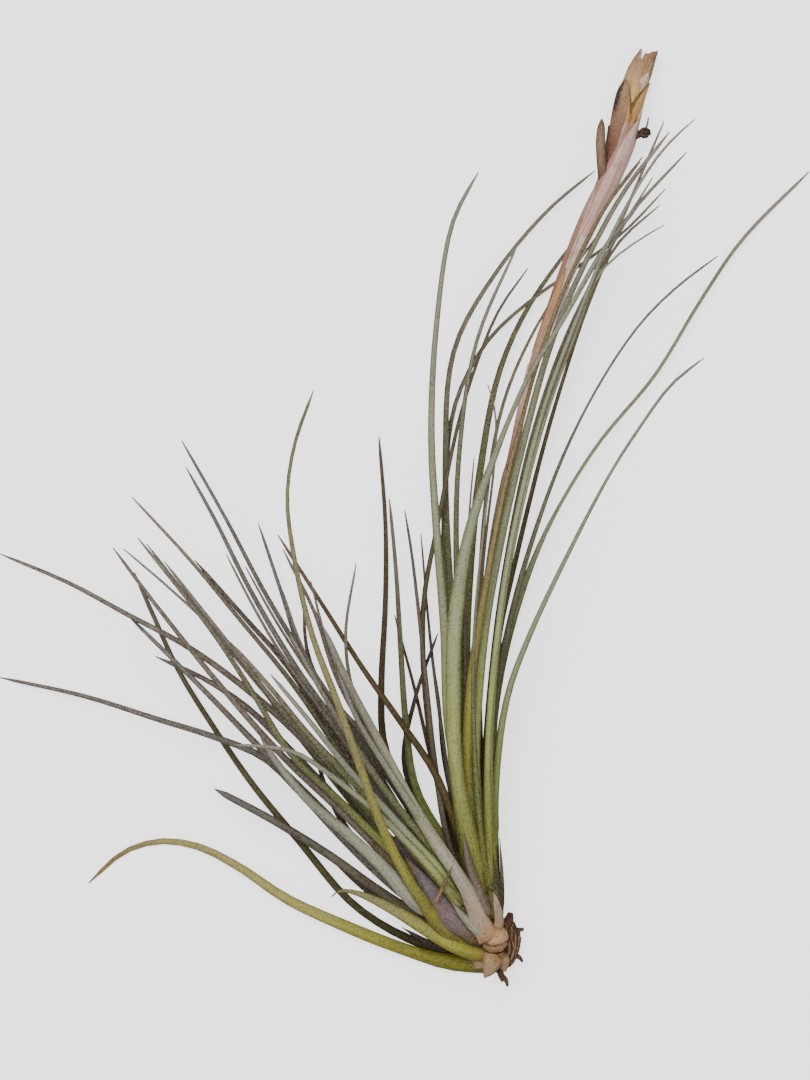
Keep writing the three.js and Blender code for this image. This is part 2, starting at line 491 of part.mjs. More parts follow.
const pieces = [];

/** Adds a piece, cut clear of every piece that was added before it. */
function place(name, look, build, tolerance = CUT_TOLERANCE) {
  const clear = pieces.reduce((rest, piece) => rest.subtract(piece.grown), build(0));
  pieces.push({ name, look, solid: largest(clear.simplify(tolerance)), grown: build(CLEARANCE) });
}

const oneLeaf = (shape, axis) => (grown) => leafSolid(shape, axis, grown);

place('stem_base', 'knuckle', knuckle);
place('old_leaf_short', 'oldLeaf', oneLeaf(OLD_LEAVES.old_leaf_short, OFFSET_CORE.from));
place('old_leaf_upright', 'oldLeaf', oneLeaf(OLD_LEAVES.old_leaf_upright, OFFSET_CORE.from));
place('flower_stem', 'pinkStem', flowerStem);
place('flower_head', 'tanBract', flowerHead);
place('leafy_bract', 'brownBract', oneLeaf(LEAFY_BRACT, STEM_LINE.at(-3)));
place('dried_flower', 'deadWood', (grown) => joined(DRIED_FLOWER.map(([radii, points]) => rodSolid(points,
  radii, 7, [0, 0.3, 0.6, 1], grown))));
place('offset_rosette', 'greyLeaf', (grown) => rosetteSolid(OFFSET_LEAVES, OFFSET_CORE, grown));
place('parent_rosette', 'greenLeaf', (grown) => rosetteSolid(PARENT_LEAVES, PARENT_CORE, grown));
UPRIGHT_SCALES.forEach((shape, i) => place(`upright_scale_${i + 1}`, 'tanBract',
  oneLeaf(shape, PARENT_CORE.from), SCALE_TOLERANCE));
PARENT_DRY_LEAVES.forEach((shape, i) => place(`parent_dry_leaf_${i + 1}`, 'oliveLeaf',
  oneLeaf(shape, PARENT_CORE.from), SCALE_TOLERANCE));
OFFSET_DRY_LEAVES.forEach((shape, i) => place(`offset_dry_leaf_${i + 1}`, 'darkLeaf',
  oneLeaf(shape, OFFSET_CORE.from), SCALE_TOLERANCE));
place('old_leaf_dark', 'darkLeaf', oneLeaf(OLD_LEAVES.old_leaf_dark, OFFSET_CORE.from));
place('old_leaf_long', 'oldLeaf', oneLeaf(OLD_LEAVES.old_leaf_long, OFFSET_CORE.from));
BASE_SCALES.forEach((shape, i) => place(`base_scale_${i + 1}`, 'tanBract',
  oneLeaf(shape, KNUCKLE.centre), SCALE_TOLERANCE));
place('woody_stub', 'deadWood', woodyStub);
place('dry_strip', 'tanBract', oneLeaf(DRY_STRIP, OFFSET_CORE.from), SCALE_TOLERANCE);

const plant = new THREE.Group();
for (const { name, look, solid } of pieces) {
  const { vertProperties, triVerts } = solid.getMesh();
  const geometry = new THREE.BufferGeometry();
  geometry.setAttribute('position', new THREE.BufferAttribute(vertProperties, 3));
  geometry.setIndex(new THREE.BufferAttribute(triVerts, 1));
  const mesh = new THREE.Mesh(geometry, new THREE.MeshStandardMaterial({ ...LOOKS[look], metalness: 0 }));
  mesh.name = name;
  plant.add(mesh);
}

export default plant;
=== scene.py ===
"""The looks of a rush-leaved air plant that lies on its side, as seen from straight above.

The plant has a tall parent rosette with a spent flower stem, a leaning young offset beside it, a few
old leaves, and the dead stub that once held it. Lengths in the tables are millimetres, and MM turns
them into metres. The tables of leaves are those that the plant's solids are built from, but for a few
feet, heights and widths.
"""

import json
import logging
import math
import random
from bisect import bisect_right
from collections.abc import Callable, Sequence
from dataclasses import dataclass, replace
from enum import Enum
from functools import cache, partial

import bmesh
import bpy
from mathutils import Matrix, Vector, noise

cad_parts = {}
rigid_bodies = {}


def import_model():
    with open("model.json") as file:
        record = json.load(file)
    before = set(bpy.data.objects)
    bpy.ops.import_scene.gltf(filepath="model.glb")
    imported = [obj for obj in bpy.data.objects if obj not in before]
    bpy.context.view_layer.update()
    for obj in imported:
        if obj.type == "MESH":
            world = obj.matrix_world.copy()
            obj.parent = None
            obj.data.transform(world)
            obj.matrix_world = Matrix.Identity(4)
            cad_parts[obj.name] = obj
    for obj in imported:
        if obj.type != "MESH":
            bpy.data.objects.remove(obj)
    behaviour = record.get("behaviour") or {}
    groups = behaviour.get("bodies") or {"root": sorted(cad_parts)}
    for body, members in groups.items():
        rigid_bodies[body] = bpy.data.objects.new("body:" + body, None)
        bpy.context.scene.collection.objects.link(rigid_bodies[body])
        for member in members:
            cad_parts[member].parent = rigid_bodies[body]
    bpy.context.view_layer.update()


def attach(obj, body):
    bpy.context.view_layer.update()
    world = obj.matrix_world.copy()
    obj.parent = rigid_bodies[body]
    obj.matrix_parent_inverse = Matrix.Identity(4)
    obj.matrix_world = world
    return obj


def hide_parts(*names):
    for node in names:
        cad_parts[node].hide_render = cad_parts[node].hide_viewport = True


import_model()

LOG = logging.getLogger("air plant")
MM = 0.001
UP = Vector((0, 0, 1))

Shade = tuple[int, int, int]
Spot = tuple[float, float, float]

# ------------------------------------------------------------------ the plant's form

LEAST_WIDTH = 0.35          # of a leaf's very tip
TIP_WIDTH = 0.34            # a blade's width at its tip over its widest
FULLNESS = 1.18             # a blade's width over that of its solid, which keeps a gap to its neighbours
FOOT_ROUND = 0.012          # how soon a leaf's rounded foot is at its full width, by share
LEAF_RATIO = 0.42           # a blade's thickness over its width
SHEATH_END = 0.2            # where a broad foot has become the blade, as a share of the leaf
SHEATH_SPREAD = 2.1         # the foot's width over the blade's
SHEATH_WRAP = 0.7           # how far a foot's edges reach round its rosette, over half its width
WRAP_END = 0.28             # where those edges have come back level, as a share of the leaf
GOLDEN_ANGLE = 2.39996      # between one leaf of a rosette and the next
SPIRAL_RADIUS = 1.1         # of the ring that a rosette's leaves have their feet on
SPIRAL_RISE = 0.07          # of each leaf's foot past the one before it
BLADE_CLOSING = 50          # higher for blades that close later to their points
SCALE_ROUNDING = 0.9        # lower for scales with rounder ends

# The flower stem's line, from its foot in the parent's heart to the tip of the head, and the radii of
# its two stretches by the share of each.
STEM_LINE = (
    (-4.6, 44, 13), (-4.2, 75, 14.5), (-2.6, 105, 15), (1.8, 138, 15), (8.1, 167, 14), (14.1, 192, 12),
    (21.8, 214, 11), (30.6, 236, 9.6), (39.6, 256, 8), (44.3, 271, 6), (47.4, 284, 4.8), (52.3, 297, 3.4),
)
STEM_END = 0.875            # share of that line where the pink stem gives way to the dry head
STEM_RADII = ((0, 1.5), (0.5, 1.6), (0.65, 1.9), (0.73, 2.2), (0.83, 3), (0.92, 3.5), (0.96, 4.1),
              (1, 4.8))
HEAD_RADII = ((0, 4.7), (0.3, 4.8), (0.55, 4.5), (0.8, 3.8), (1, 2.2))
BRACT_ROOM = 0.4            # millimetres that the stem's core leaves to its bracts
NECK_START = 0.8            # of the whole line, where that core starts to narrow towards the head
NECK_DEPTH = 0.3            # millimetres by which it does
HEAD_FILLING = 0.87         # how much of the head's radius its core takes
BRACT_COLUMNS = 20          # of a bract's faces, across it


class Tone(Enum):
    """The kinds of colouring that the leaves and scales of this plant have."""

    SILVER = "silver"
    GREEN = "green"
    OLIVE = "olive"
    BRONZE = "bronze"
    MAUVE = "mauve"
    SLATE = "slate"
    BROWN = "brown"
    DARK = "dark"
    MOSS = "moss"
    TAN = "tan"
    YELLOW = "yellow"
    PAPER = "paper"
    SHEATH = "sheath"
    RUSSET = "russet"
    STRAWY = "strawy"
    FADED = "faded"
    AMBER = "amber"
    HEATHER = "heather"
    CORK = "cork"


def linear(shade: Shade) -> Vector:
    """Turns an 8-bit sRGB shade into a linear colour."""
    parts = (part / 255 for part in shade)
    return Vector([part / 12.92 if part <= 0.04045 else ((part + 0.055) / 1.055) ** 2.4 for part in parts])


@dataclass(frozen=True)
class Palette:
    """A leaf's shades from its foot to its tip, and how much painted shade darkens its margins."""

    foot: Shade
    sheath: Shade
    low: Shade
    middle: Shade
    high: Shade
    tip: Shade
    # painted shade on the margins; a negative amount paints them paler, as light through their thin edges
    margin: float = 0.66

    PLACES = (0.0, 0.08, 0.24, 0.45, 0.72, 1.0)     # of the six shades, by share of the leaf

    def at(self, share: float) -> Vector:
        """Gives the linear colour at a share of the leaf's length.

        Args:
            share: 0 at the foot and 1 at the tip.

        Returns:
            The colour, blended between the two nearest shades.
        """
        shades = (self.foot, self.sheath, self.low, self.middle, self.high, self.tip)
        spot = max(1, min(len(shades) - 1, sum(place < share for place in self.PLACES)))
        blend = smooth(share, self.PLACES[spot - 1], self.PLACES[spot])
        return linear(shades[spot - 1]).lerp(linear(shades[spot]), blend)


PALETTES = {
    Tone.SILVER: Palette((108, 88, 40), (118, 120, 48), (148, 156, 92), (138, 144, 114), (130, 128, 110),
                         (130, 123, 116)),
    Tone.GREEN: Palette((104, 90, 34), (122, 126, 46), (132, 142, 60), (100, 105, 58), (98, 94, 70),
                        (120, 110, 100)),
    Tone.OLIVE: Palette((82, 68, 30), (94, 92, 36), (92, 98, 42), (90, 91, 57), (108, 101, 84),
                        (126, 115, 107)),
    Tone.BRONZE: Palette((78, 62, 28), (84, 76, 36), (80, 74, 32), (102, 90, 60), (102, 92, 74),
                         (120, 107, 97)),
    Tone.MAUVE: Palette((116, 82, 58), (118, 102, 98), (116, 107, 98), (98, 88, 74), (101, 90, 81),
                        (106, 95, 91)),
    Tone.SLATE: Palette((100, 84, 60), (112, 105, 86), (114, 110, 90), (100, 95, 78), (94, 90, 82),
                        (99, 96, 96)),
    Tone.BROWN: Palette((74, 50, 26), (88, 70, 36), (92, 76, 38), (68, 53, 24), (80, 64, 38),
                        (92, 76, 62)),
    Tone.DARK: Palette((50, 34, 22), (58, 44, 34), (62, 50, 38), (60, 48, 36), (62, 50, 40),
                       (76, 64, 54)),
    Tone.MOSS: Palette((66, 58, 24), (60, 52, 20), (66, 63, 24), (72, 67, 34), (84, 79, 52),
                       (94, 90, 78)),
    Tone.TAN: Palette((156, 116, 76), (152, 122, 88), (138, 108, 76), (106, 86, 54), (102, 84, 56),
                      (108, 92, 70)),
    Tone.YELLOW: Palette((122, 104, 46), (146, 140, 46), (150, 144, 56), (152, 145, 80), (146, 135, 86),
                         (112, 84, 54), 0.3),
    Tone.PAPER: Palette((182, 132, 86), (168, 140, 114), (160, 138, 118), (152, 132, 114), (162, 144, 126),
                        (172, 154, 134), -0.2),
    Tone.SHEATH: Palette((188, 138, 92), (170, 152, 132), (160, 156, 138), (144, 146, 120), (128, 126, 108),
                         (126, 120, 112), 0.35),
    Tone.RUSSET: Palette((150, 108, 88), (134, 96, 76), (124, 90, 70), (128, 98, 76), (138, 108, 86),
                         (104, 76, 58), 0.7),
    Tone.STRAWY: Palette((146, 112, 72), (144, 130, 52), (148, 142, 54), (136, 128, 70), (122, 116, 78),
                         (104, 94, 66), 0.4),
    Tone.FADED: Palette((84, 70, 40), (122, 114, 50), (138, 134, 62), (128, 122, 82), (112, 107, 80),
                        (98, 92, 74), 0.4),
    Tone.AMBER: Palette((104, 90, 36), (122, 122, 46), (142, 140, 58), (132, 118, 72), (112, 98, 74),
                        (112, 96, 76)),
    Tone.HEATHER: Palette((96, 78, 44), (98, 82, 54), (104, 88, 82), (96, 86, 90), (94, 85, 86),
                          (90, 82, 78), 0.3),
    Tone.CORK: Palette((196, 152, 112), (188, 152, 118), (178, 146, 114), (166, 138, 106), (160, 134, 106),
                       (140, 112, 88), 0.4),
}


def smooth(value: float, start: float, end: float) -> float:
    """Gives 0 before the start, 1 after the end, and an even rise between."""
    share = min(max((value - start) / (end - start), 0.0), 1.0)
    return share * share * (3 - 2 * share)


def look_up(pairs: Sequence[tuple[float, float]], place: float) -> float:
    """Reads a value from (place, value) pairs.

    Args:
        pairs: the pairs, in rising order of place.
        place: where to read.

    Returns:
        The value there, on a straight line between its neighbours.
    """
    if place <= pairs[0][0]:
        return pairs[0][1]
    for (start, low), (end, high) in zip(pairs, pairs[1:]):
        if place <= end:
            return low + (high - low) * (place - start) / (end - start)
    return pairs[-1][1]


class SmoothLine:
    """A centripetal Catmull-Rom line through points, read by share of its length."""

    SAMPLES = 12            # on each span between two points
    REACH = 0.004           # of the line, to either side of where its direction is read
    LEAST_SPAN = 1e-9       # millimetres, so that nothing is divided by zero

    def __init__(self, points: Sequence[Vector]) -> None:
        """Samples the line.

        Args:
            points: what it passes through, in millimetres.
        """
        knots = [2 * points[0] - points[1], *points, 2 * points[-1] - points[-2]]
        self.samples = [points[0].copy()]
        for spot in range(len(points) - 1):
            span = knots[spot:spot + 4]
            self.samples += [self._between(span, step / self.SAMPLES) for step in range(1, self.SAMPLES + 1)]
        self.lengths = [0.0]
        for start, end in zip(self.samples, self.samples[1:]):
            self.lengths.append(self.lengths[-1] + (end - start).length)

    @staticmethod
    def _between(knots: Sequence[Vector], share: float) -> Vector:
        """Gives a point between the middle two of four knots.

        Args:
            knots: the four.
            share: 0 at the second and 1 at the third.

        Returns:
            The point.
        """
        gaps = [math.sqrt((end - start).length) for start, end in zip(knots, knots[1:])]
        first = ((knots[1] - knots[0]) / gaps[0] - (knots[2] - knots[0]) / (gaps[0] + gaps[1])
                 + (knots[2] - knots[1]) / gaps[1]) * gaps[1]
        last = ((knots[2] - knots[1]) / gaps[1] - (knots[3] - knots[1]) / (gaps[1] + gaps[2])
                + (knots[3] - knots[2]) / gaps[2]) * gaps[1]
        rise = knots[2] - knots[1]
        return (knots[1] + first * share + (3 * rise - 2 * first - last) * share ** 2
                + (first + last - 2 * rise) * share ** 3)

    @property
    def length(self) -> float:
        """The line's whole length."""
        return self.lengths[-1]

    def at(self, share: float) -> Vector:
        """Gives a point on the line.

        Args:
            share: 0 at the line's start and 1 at its end.

        Returns:
            The point at that share of the length.
        """
        target = min(max(share, 0.0), 1.0) * self.length
        spot = min(max(bisect_right(self.lengths, target) - 1, 0), len(self.samples) - 2)
        span = max(self.lengths[spot + 1] - self.lengths[spot], self.LEAST_SPAN)
        return self.samples[spot].lerp(self.samples[spot + 1], (target - self.lengths[spot]) / span)

    def along(self, share: float) -> Vector:
        """Gives the direction at a share of the length."""
        return (self.at(share + self.REACH) - self.at(share - self.REACH)).normalized()


# ------------------------------------------------------------------ leaves


@dataclass(frozen=True)
class Leaf:
    """One leaf: its colouring, its blade's width, its three heights and its route over the surface."""

    tone: Tone
    width: float
    heights: Spot
    route: tuple[tuple[float, float], ...]
    spread: float = SHEATH_SPREAD
    narrows: tuple[float, float] = (0.1, 1.0)   # the stretch in which its blade narrows, by share

    def line(self) -> SmoothLine:
        """Lifts the route over the surface to the leaf's heights.

        Returns:
            The line that the leaf follows, from its foot to its tip.
        """
        flat = SmoothLine([Vector((x, y, 0)) for x, y in self.route])
        count = 4 * len(self.route)
        points = [flat.at(step / count) + UP * self.height(step / count) for step in range(count + 1)]
        return SmoothLine(points)

    def height(self, share: float) -> float:
        """Gives the height above the surface: the parabola through the three heights."""
        foot, middle, tip = self.heights
        return (foot * (1 - share) * (1 - 2 * share) + middle * 4 * share * (1 - share)
                + tip * share * (2 * share - 1))

    def blade(self, share: float) -> float:
        """Gives the blade's width.

        Args:
            share: 0 at the leaf's foot and 1 at its tip.

        Returns:
            The width there, over the blade's widest.
        """
        start, end = self.narrows
        taper = 1 - (1 - TIP_WIDTH) * min(max((share - start) / (end - start), 0.0), 1.0)
        return FULLNESS * taper * math.sqrt(1 - share ** BLADE_CLOSING)

    def breadth(self, share: float) -> float:
        """Gives the width, with a broad foot and then the blade.

        Args:
            share: 0 at the leaf's foot and 1 at its tip.

        Returns:
            The width there, in millimetres.
        """
        foot = self.spread + (1 - self.spread) * smooth(share, 0, SHEATH_END)
        rounded = math.sqrt(1 - (1 - min(share / FOOT_ROUND, 1)) ** 2)
        return max(LEAST_WIDTH, self.width * foot * rounded * self.blade(share))

    def in_spiral(self, order: int) -> "Leaf":
        """Moves the foot to its own place in the rosette's spiral.

        Args:
            order: how many of the rosette's leaves come before this one.

        Returns:
            The moved leaf.
        """
        turn = order * GOLDEN_ANGLE
        (x, y), *rest = self.route
        foot, *outer = self.heights
        start = (x + SPIRAL_RADIUS * math.cos(turn), y + SPIRAL_RISE * order)
        return replace(self, route=(start, *rest), heights=(foot + SPIRAL_RADIUS * math.sin(turn), *outer))


@dataclass(frozen=True)
class Scale(Leaf):
    """A dry scale or a bract: a broad leaf that is rounded off at its tip."""

    blunt: float = 2.5          # higher for a blunter tip

    def blade(self, share: float) -> float:
        """Gives the blade's width at a share of the length, over its widest."""
        return (1 - share ** self.blunt) ** SCALE_ROUNDING


PARENT_LEAVES = (
    Leaf(Tone.SILVER, 3.3, (9, 26, 30), ((0, 8), (-13.3, 70), (-15.2, 105), (-18, 140), (-19.6, 170),
         (-18, 205), (-12.5, 240), (-4, 256.5))),
    Leaf(Tone.SILVER, 4.2, (11, 33, 26), ((0, 9), (-11, 55), (-12.4, 85), (-11.6, 110), (-7, 138),
         (1, 162), (12, 188), (24, 208), (38, 232), (50, 247)), narrows=(0.42, 0.66)),
    Leaf(Tone.OLIVE, 2.7, (7, 6.5, 2.2), ((0, 7), (-7, 45), (-13, 115), (-14.8, 160), (-12, 198),
         (2, 224), (20, 245.5), (35, 258))),
    Leaf(Tone.OLIVE, 2.5, (8, 12, 16), ((0, 7), (-6, 45), (-11.2, 125), (-10.2, 165), (-4.5, 201),
         (9.5, 234))),
    Leaf(Tone.OLIVE, 2.1, (5, 4.5, 2.2), ((0, 7), (-8, 50), (-14.5, 105), (-14.6, 160), (-11, 182),
         (-1, 201), (12, 213.5), (30, 226.5), (45, 238), (58.5, 252))),
    Leaf(Tone.GREEN, 3.3, (6, 5, 1.2), ((1, 8), (-5, 40), (-8.2, 90), (-6.8, 125), (-3, 160),
         (2.8, 190), (11.3, 210), (24, 229), (38, 246), (50, 261)), narrows=(0.2, 0.85)),
    Leaf(Tone.BRONZE, 1.9, (6, 6.5, 5), ((1, 7), (-3, 60), (-3.4, 120), (0, 159), (5.2, 183), (16, 207),
         (36, 237))),
    Leaf(Tone.BRONZE, 1.5, (9, 21, 24), ((1, 8), (-4, 60), (-3, 120), (1.6, 165), (1.5, 178),
         (-1, 186.5))),
    Leaf(Tone.MAUVE, 1.5, (10, 22, 26), ((0, 8), (-7, 60), (-8.4, 110), (-7.3, 140), (-5.5, 162))),
    Leaf(Tone.OLIVE, 1.7, (10, 28, 32), ((1, 8), (-5, 60), (-5.6, 100), (-3, 133), (0, 158))),
    Leaf(Tone.SILVER, 3.3, (10, 25, 14), ((1, 9), (-5, 50), (-2.6, 100), (4, 138), (11.5, 170),
         (20, 200), (30, 224), (44, 250), (59.5, 270.5))),
    Leaf(Tone.SILVER, 2.1, (10, 30, 28), ((1, 9), (-1, 60), (3, 110), (9, 145), (18, 180), (30, 212),
         (42, 240), (57, 264), (67.5, 274))),
    Leaf(Tone.OLIVE, 2.2, (7, 9, 6), ((2, 8), (0, 50), (1, 90), (10, 148), (25, 200), (38, 228),
         (50, 256), (57.9, 274.3))),
    Leaf(Tone.OLIVE, 2.5, (8, 18, 19), ((2, 8), (-1, 60), (3, 108), (8, 138), (14, 165), (22, 190),
         (33, 217), (45, 241), (65, 263.5))),
    Leaf(Tone.OLIVE, 2, (8, 14, 23), ((1, 8), (-2, 50), (1.4, 100), (7, 138), (14, 170), (24, 200),
         (38, 229), (53.7, 255))),
    Leaf(Tone.BRONZE, 2.1, (7, 4.5, 3), ((2, 7), (1, 60), (2.6, 100), (8, 126), (17, 163), (23, 184),
         (33, 214), (42, 233), (56.5, 246.5))),
    Leaf(Tone.SILVER, 1.7, (9, 23, 32), ((2, 9), (0, 60), (3, 105), (9, 140), (18, 175), (28, 203),
         (36, 223), (46, 232), (57.3, 239))),
    Leaf(Tone.AMBER, 3.2, (10, 29, 20), ((1, 9), (-6, 32), (-8, 60), (-6.5, 88), (-3, 112), (3, 145),
         (9, 170), (17, 198), (27, 224), (38, 245), (50.5, 262)), narrows=(0.2, 0.56)),
    Leaf(Tone.SLATE, 2.2, (8, 11, 10), ((2, 8), (-1, 50), (1.4, 80), (7, 110), (14.3, 136), (24.7, 164),
         (37, 188), (50, 207), (62, 219), (75.5, 229.3)), narrows=(0.3, 0.72)),
    Leaf(Tone.SILVER, 3.1, (7, 5, 0.3), ((3, 8), (0.5, 50), (0.4, 70), (2.9, 90), (9.3, 114),
         (18.7, 138), (35.3, 166), (55, 190), (70, 214.5), (84, 235), (106.3, 257.7)),
         narrows=(0.28, 0.5)),
    Leaf(Tone.SILVER, 2.7, (8, 17, 13), ((3, 8), (1.5, 50), (5.4, 82), (12, 101), (25.3, 129.5),
         (40, 157.5), (50, 173), (60, 186.5), (71, 195.5)), narrows=(0.05, 0.75)),
)

PARENT_DRY_LEAVES = (
    Leaf(Tone.BROWN, 2.7, (3, 1.4, 1), ((-2, 7), (-22, 38), (-35, 66), (-36.2, 84), (-34.8, 115),
         (-34.8, 140), (-37, 169.5))),
    Leaf(Tone.GREEN, 2.7, (8, 9.5, 10), ((-1, 8), (-12, 30), (-24.5, 52), (-28, 74), (-29.8, 100),
         (-31.3, 125), (-33.5, 148.7))),
    Leaf(Tone.MAUVE, 2.1, (9, 12, 13), ((-1, 9), (-13, 32), (-18, 58), (-21.5, 90), (-24, 113),
         (-26, 130), (-28.4, 145))),
    Leaf(Tone.MAUVE, 1.6, (5, 5, 4), ((0, 8), (-11, 40), (-16.5, 75), (-20, 103), (-23, 137))),
    Leaf(Tone.BROWN, 1.9, (3.5, 2.5, 2), ((-1, 7), (-12, 38), (-19, 60), (-25, 85), (-31.8, 110))),
    Leaf(Tone.BROWN, 2.6, (9, 15, 17), ((-1, 10), (-10, 36), (-18, 57), (-30, 75), (-42, 92),
         (-55, 112.5), (-70.5, 136.8))),
    Leaf(Tone.DARK, 2.1, (3, 2, 2), ((0, 8), (-9, 36), (-15.3, 62), (-17.2, 82), (-19.8, 98))),
    Leaf(Tone.DARK, 2.4, (6, 6, 6), ((-3, 8), (-18, 37), (-28.5, 60), (-25, 82), (-20, 97), (-17.3, 104))),
    Leaf(Tone.BRONZE, 2.1, (6, 8, 11), ((-1, 9), (-10.5, 32), (-17, 52), (-22, 90), (-22, 115),
         (-17.5, 140), (-10.5, 174), (-4, 195), (3, 211.5), (12.7, 225.5))),
)

OFFSET_LEAVES = (
    Leaf(Tone.MAUVE, 2.9, (9, 24, 18), ((-6, 4), (-25, 24), (-45, 50), (-62, 69), (-78, 83.5),
         (-99, 99), (-120, 110.3), (-140, 121), (-162.5, 130.4))),
    Leaf(Tone.MAUVE, 2.9, (7.5, 9.5, 0.3), ((-6, 3), (-29, 17), (-49, 36), (-62, 50), (-75, 62.5),
         (-91, 69.3), (-110, 75.2), (-135, 83), (-163.5, 89.2))),
    Leaf(Tone.MAUVE, 2.8, (10, 31, 30), ((-6, 4), (-26, 22), (-50, 46), (-68, 63), (-90, 88),
         (-110, 113), (-124.7, 132.5))),
    Leaf(Tone.OLIVE, 1.8, (8, 15, 22), ((-6, 4), (-28, 26), (-52, 55), (-70, 78), (-86, 99.5),
         (-104, 117), (-121.6, 132.2))),
    Leaf(Tone.GREEN, 2.7, (11, 34, 40), ((-5, 4), (-28, 27), (-50, 49), (-66, 64.5), (-78, 84),
         (-90, 102.5), (-103, 119.5), (-116.3, 135.8))),
    Leaf(Tone.MAUVE, 2, (9, 21, 34), ((-6, 4), (-28, 28), (-55, 62), (-75, 85), (-92, 106),
         (-113.5, 133.8))),
    Leaf(Tone.OLIVE, 2.5, (10, 28, 46), ((-5, 5), (-28, 30), (-52, 59), (-70, 80), (-86, 100.5),
         (-107.4, 128))),
    Leaf(Tone.OLIVE, 2.3, (8, 17, 20), ((-5, 5), (-25, 30), (-48, 62), (-66, 88), (-83.3, 109),
         (-100, 129), (-118.8, 149.3))),
    Leaf(Tone.DARK, 3, (9, 24, 28), ((-5, 5), (-26, 32), (-50, 68), (-68, 94.5), (-80, 108),
         (-97.9, 128.5))),
    Leaf(Tone.SLATE, 2.4, (7, 11.5, 14), ((-4, 6), (-22, 32), (-42, 65), (-60, 93), (-74, 116),
         (-88, 142.5), (-102.4, 168))),
    Leaf(Tone.SLATE, 2.7, (10, 31, 38), ((-4, 6), (-24, 34), (-45, 66), (-63, 91), (-79, 118),
         (-91, 142), (-100.4, 159))),
    Leaf(Tone.MAUVE, 1.9, (10, 34, 50), ((-5, 5), (-25, 33), (-50, 71), (-68, 96), (-78, 113),
         (-87, 130.5))),
    Leaf(Tone.MAUVE, 1.8, (9, 19, 30), ((-4, 6), (-24, 36), (-48, 74), (-62, 94), (-72, 110),
         (-81, 126.3))),
    Leaf(Tone.SLATE, 2.5, (7, 9, 10), ((-3, 6), (-20, 35), (-40, 65), (-54, 83), (-62.5, 97),
         (-69.5, 118), (-77, 140.5))),
    Leaf(Tone.MAUVE, 1.9, (9, 21, 30), ((-3, 6), (-22, 38), (-42, 70), (-57, 89), (-64, 104),
         (-68.5, 118))),
    Leaf(Tone.MAUVE, 2.4, (9, 27, 40), ((-3, 6), (-20, 36), (-38, 66), (-51, 90), (-58, 111),
         (-68.5, 132))),
    Leaf(Tone.MAUVE, 2, (8, 15, 24), ((-2, 7), (-18, 36), (-36, 66), (-48, 86), (-55, 104),
         (-59.4, 121.5))),
    Leaf(Tone.DARK, 2.5, (6, 6.5, 6), ((-3, 6), (-22, 39), (-42, 70), (-56, 86), (-61, 99), (-62, 115))),
    Leaf(Tone.GREEN, 2, (9, 17, 18), ((-2, 7), (-18, 34), (-34, 61), (-45, 83), (-48, 103),
         (-44.5, 127.2))),
    Leaf(Tone.SHEATH, 4.3, (11.6, 34, 37), ((1.6, 2.6), (-8, 20), (-17, 33.5), (-26, 48), (-36, 67),
         (-46, 86), (-55.5, 107))),
    Leaf(Tone.MAUVE, 3.5, (8, 17, 14), ((-6, 4), (-30, 26), (-52, 50), (-67, 66), (-80, 79),
         (-94, 88.5), (-111.2, 96.4))),
    Leaf(Tone.MAUVE, 3.1, (9, 21, 20), ((-6, 3), (-28, 20), (-48, 38), (-64, 54), (-79, 69),
         (-95, 85.5), (-120, 110))),
    Leaf(Tone.SILVER, 2.7, (13, 37, 40), ((-5, 6), (-20, 27), (-38, 45.5), (-52, 57), (-64, 65),
         (-74, 67), (-84.5, 67.6))),
    Leaf(Tone.SHEATH, 4.6, (7, 34, 30), ((-7, 3), (-24, 14), (-35, 26.5), (-47, 38), (-60, 49),
         (-70, 61), (-76, 70))),
    Leaf(Tone.TAN, 3.1, (9, 24, 24), ((-6, 4), (-27, 23), (-45, 41), (-58, 54), (-67, 66), (-73.5, 76))),
    Leaf(Tone.SILVER, 3, (13, 38, 46), ((-4, 8), (-15, 24), (-25, 35), (-36, 47.5), (-48, 61),
         (-60, 76), (-72.5, 91))),
    Leaf(Tone.SILVER, 3.2, (12, 34, 42), ((-2, 8), (-12, 26), (-22, 41), (-33, 58), (-44, 76),
         (-50.5, 92))),
    Leaf(Tone.OLIVE, 2.9, (12, 35, 48), ((-3, 7), (-17, 30), (-30, 46), (-43, 64.5), (-55, 84),
         (-66, 104))),
    Leaf(Tone.GREEN, 3.2, (12, 38, 50), ((-4, 6), (-25, 32), (-45, 55), (-60, 71), (-72, 86),
         (-85.5, 101.5))),
    Leaf(Tone.DARK, 3.2, (8, 13, 14), ((-6, 4), (-30, 22), (-46, 37), (-53.5, 50), (-57.5, 62))),
)

OFFSET_DRY_LEAVES = (
    Leaf(Tone.SLATE, 3.3, (4.5, 7, 6), ((-6, 2), (-22, 9), (-38, 19), (-52.5, 29.5), (-70, 40.5),
         (-91.7, 52.2)), narrows=(0, 1.6)),
    Scale(Tone.DARK, 4.4, (3.2, 2.8, 3), ((-6, 1), (-25, 8), (-42, 19.5), (-53, 28.5)), 1.5),
    Scale(Tone.DARK, 3, (2.5, 2.2, 2), ((-5, 0), (-18, 0), (-29.5, 6)), 1.3),
)

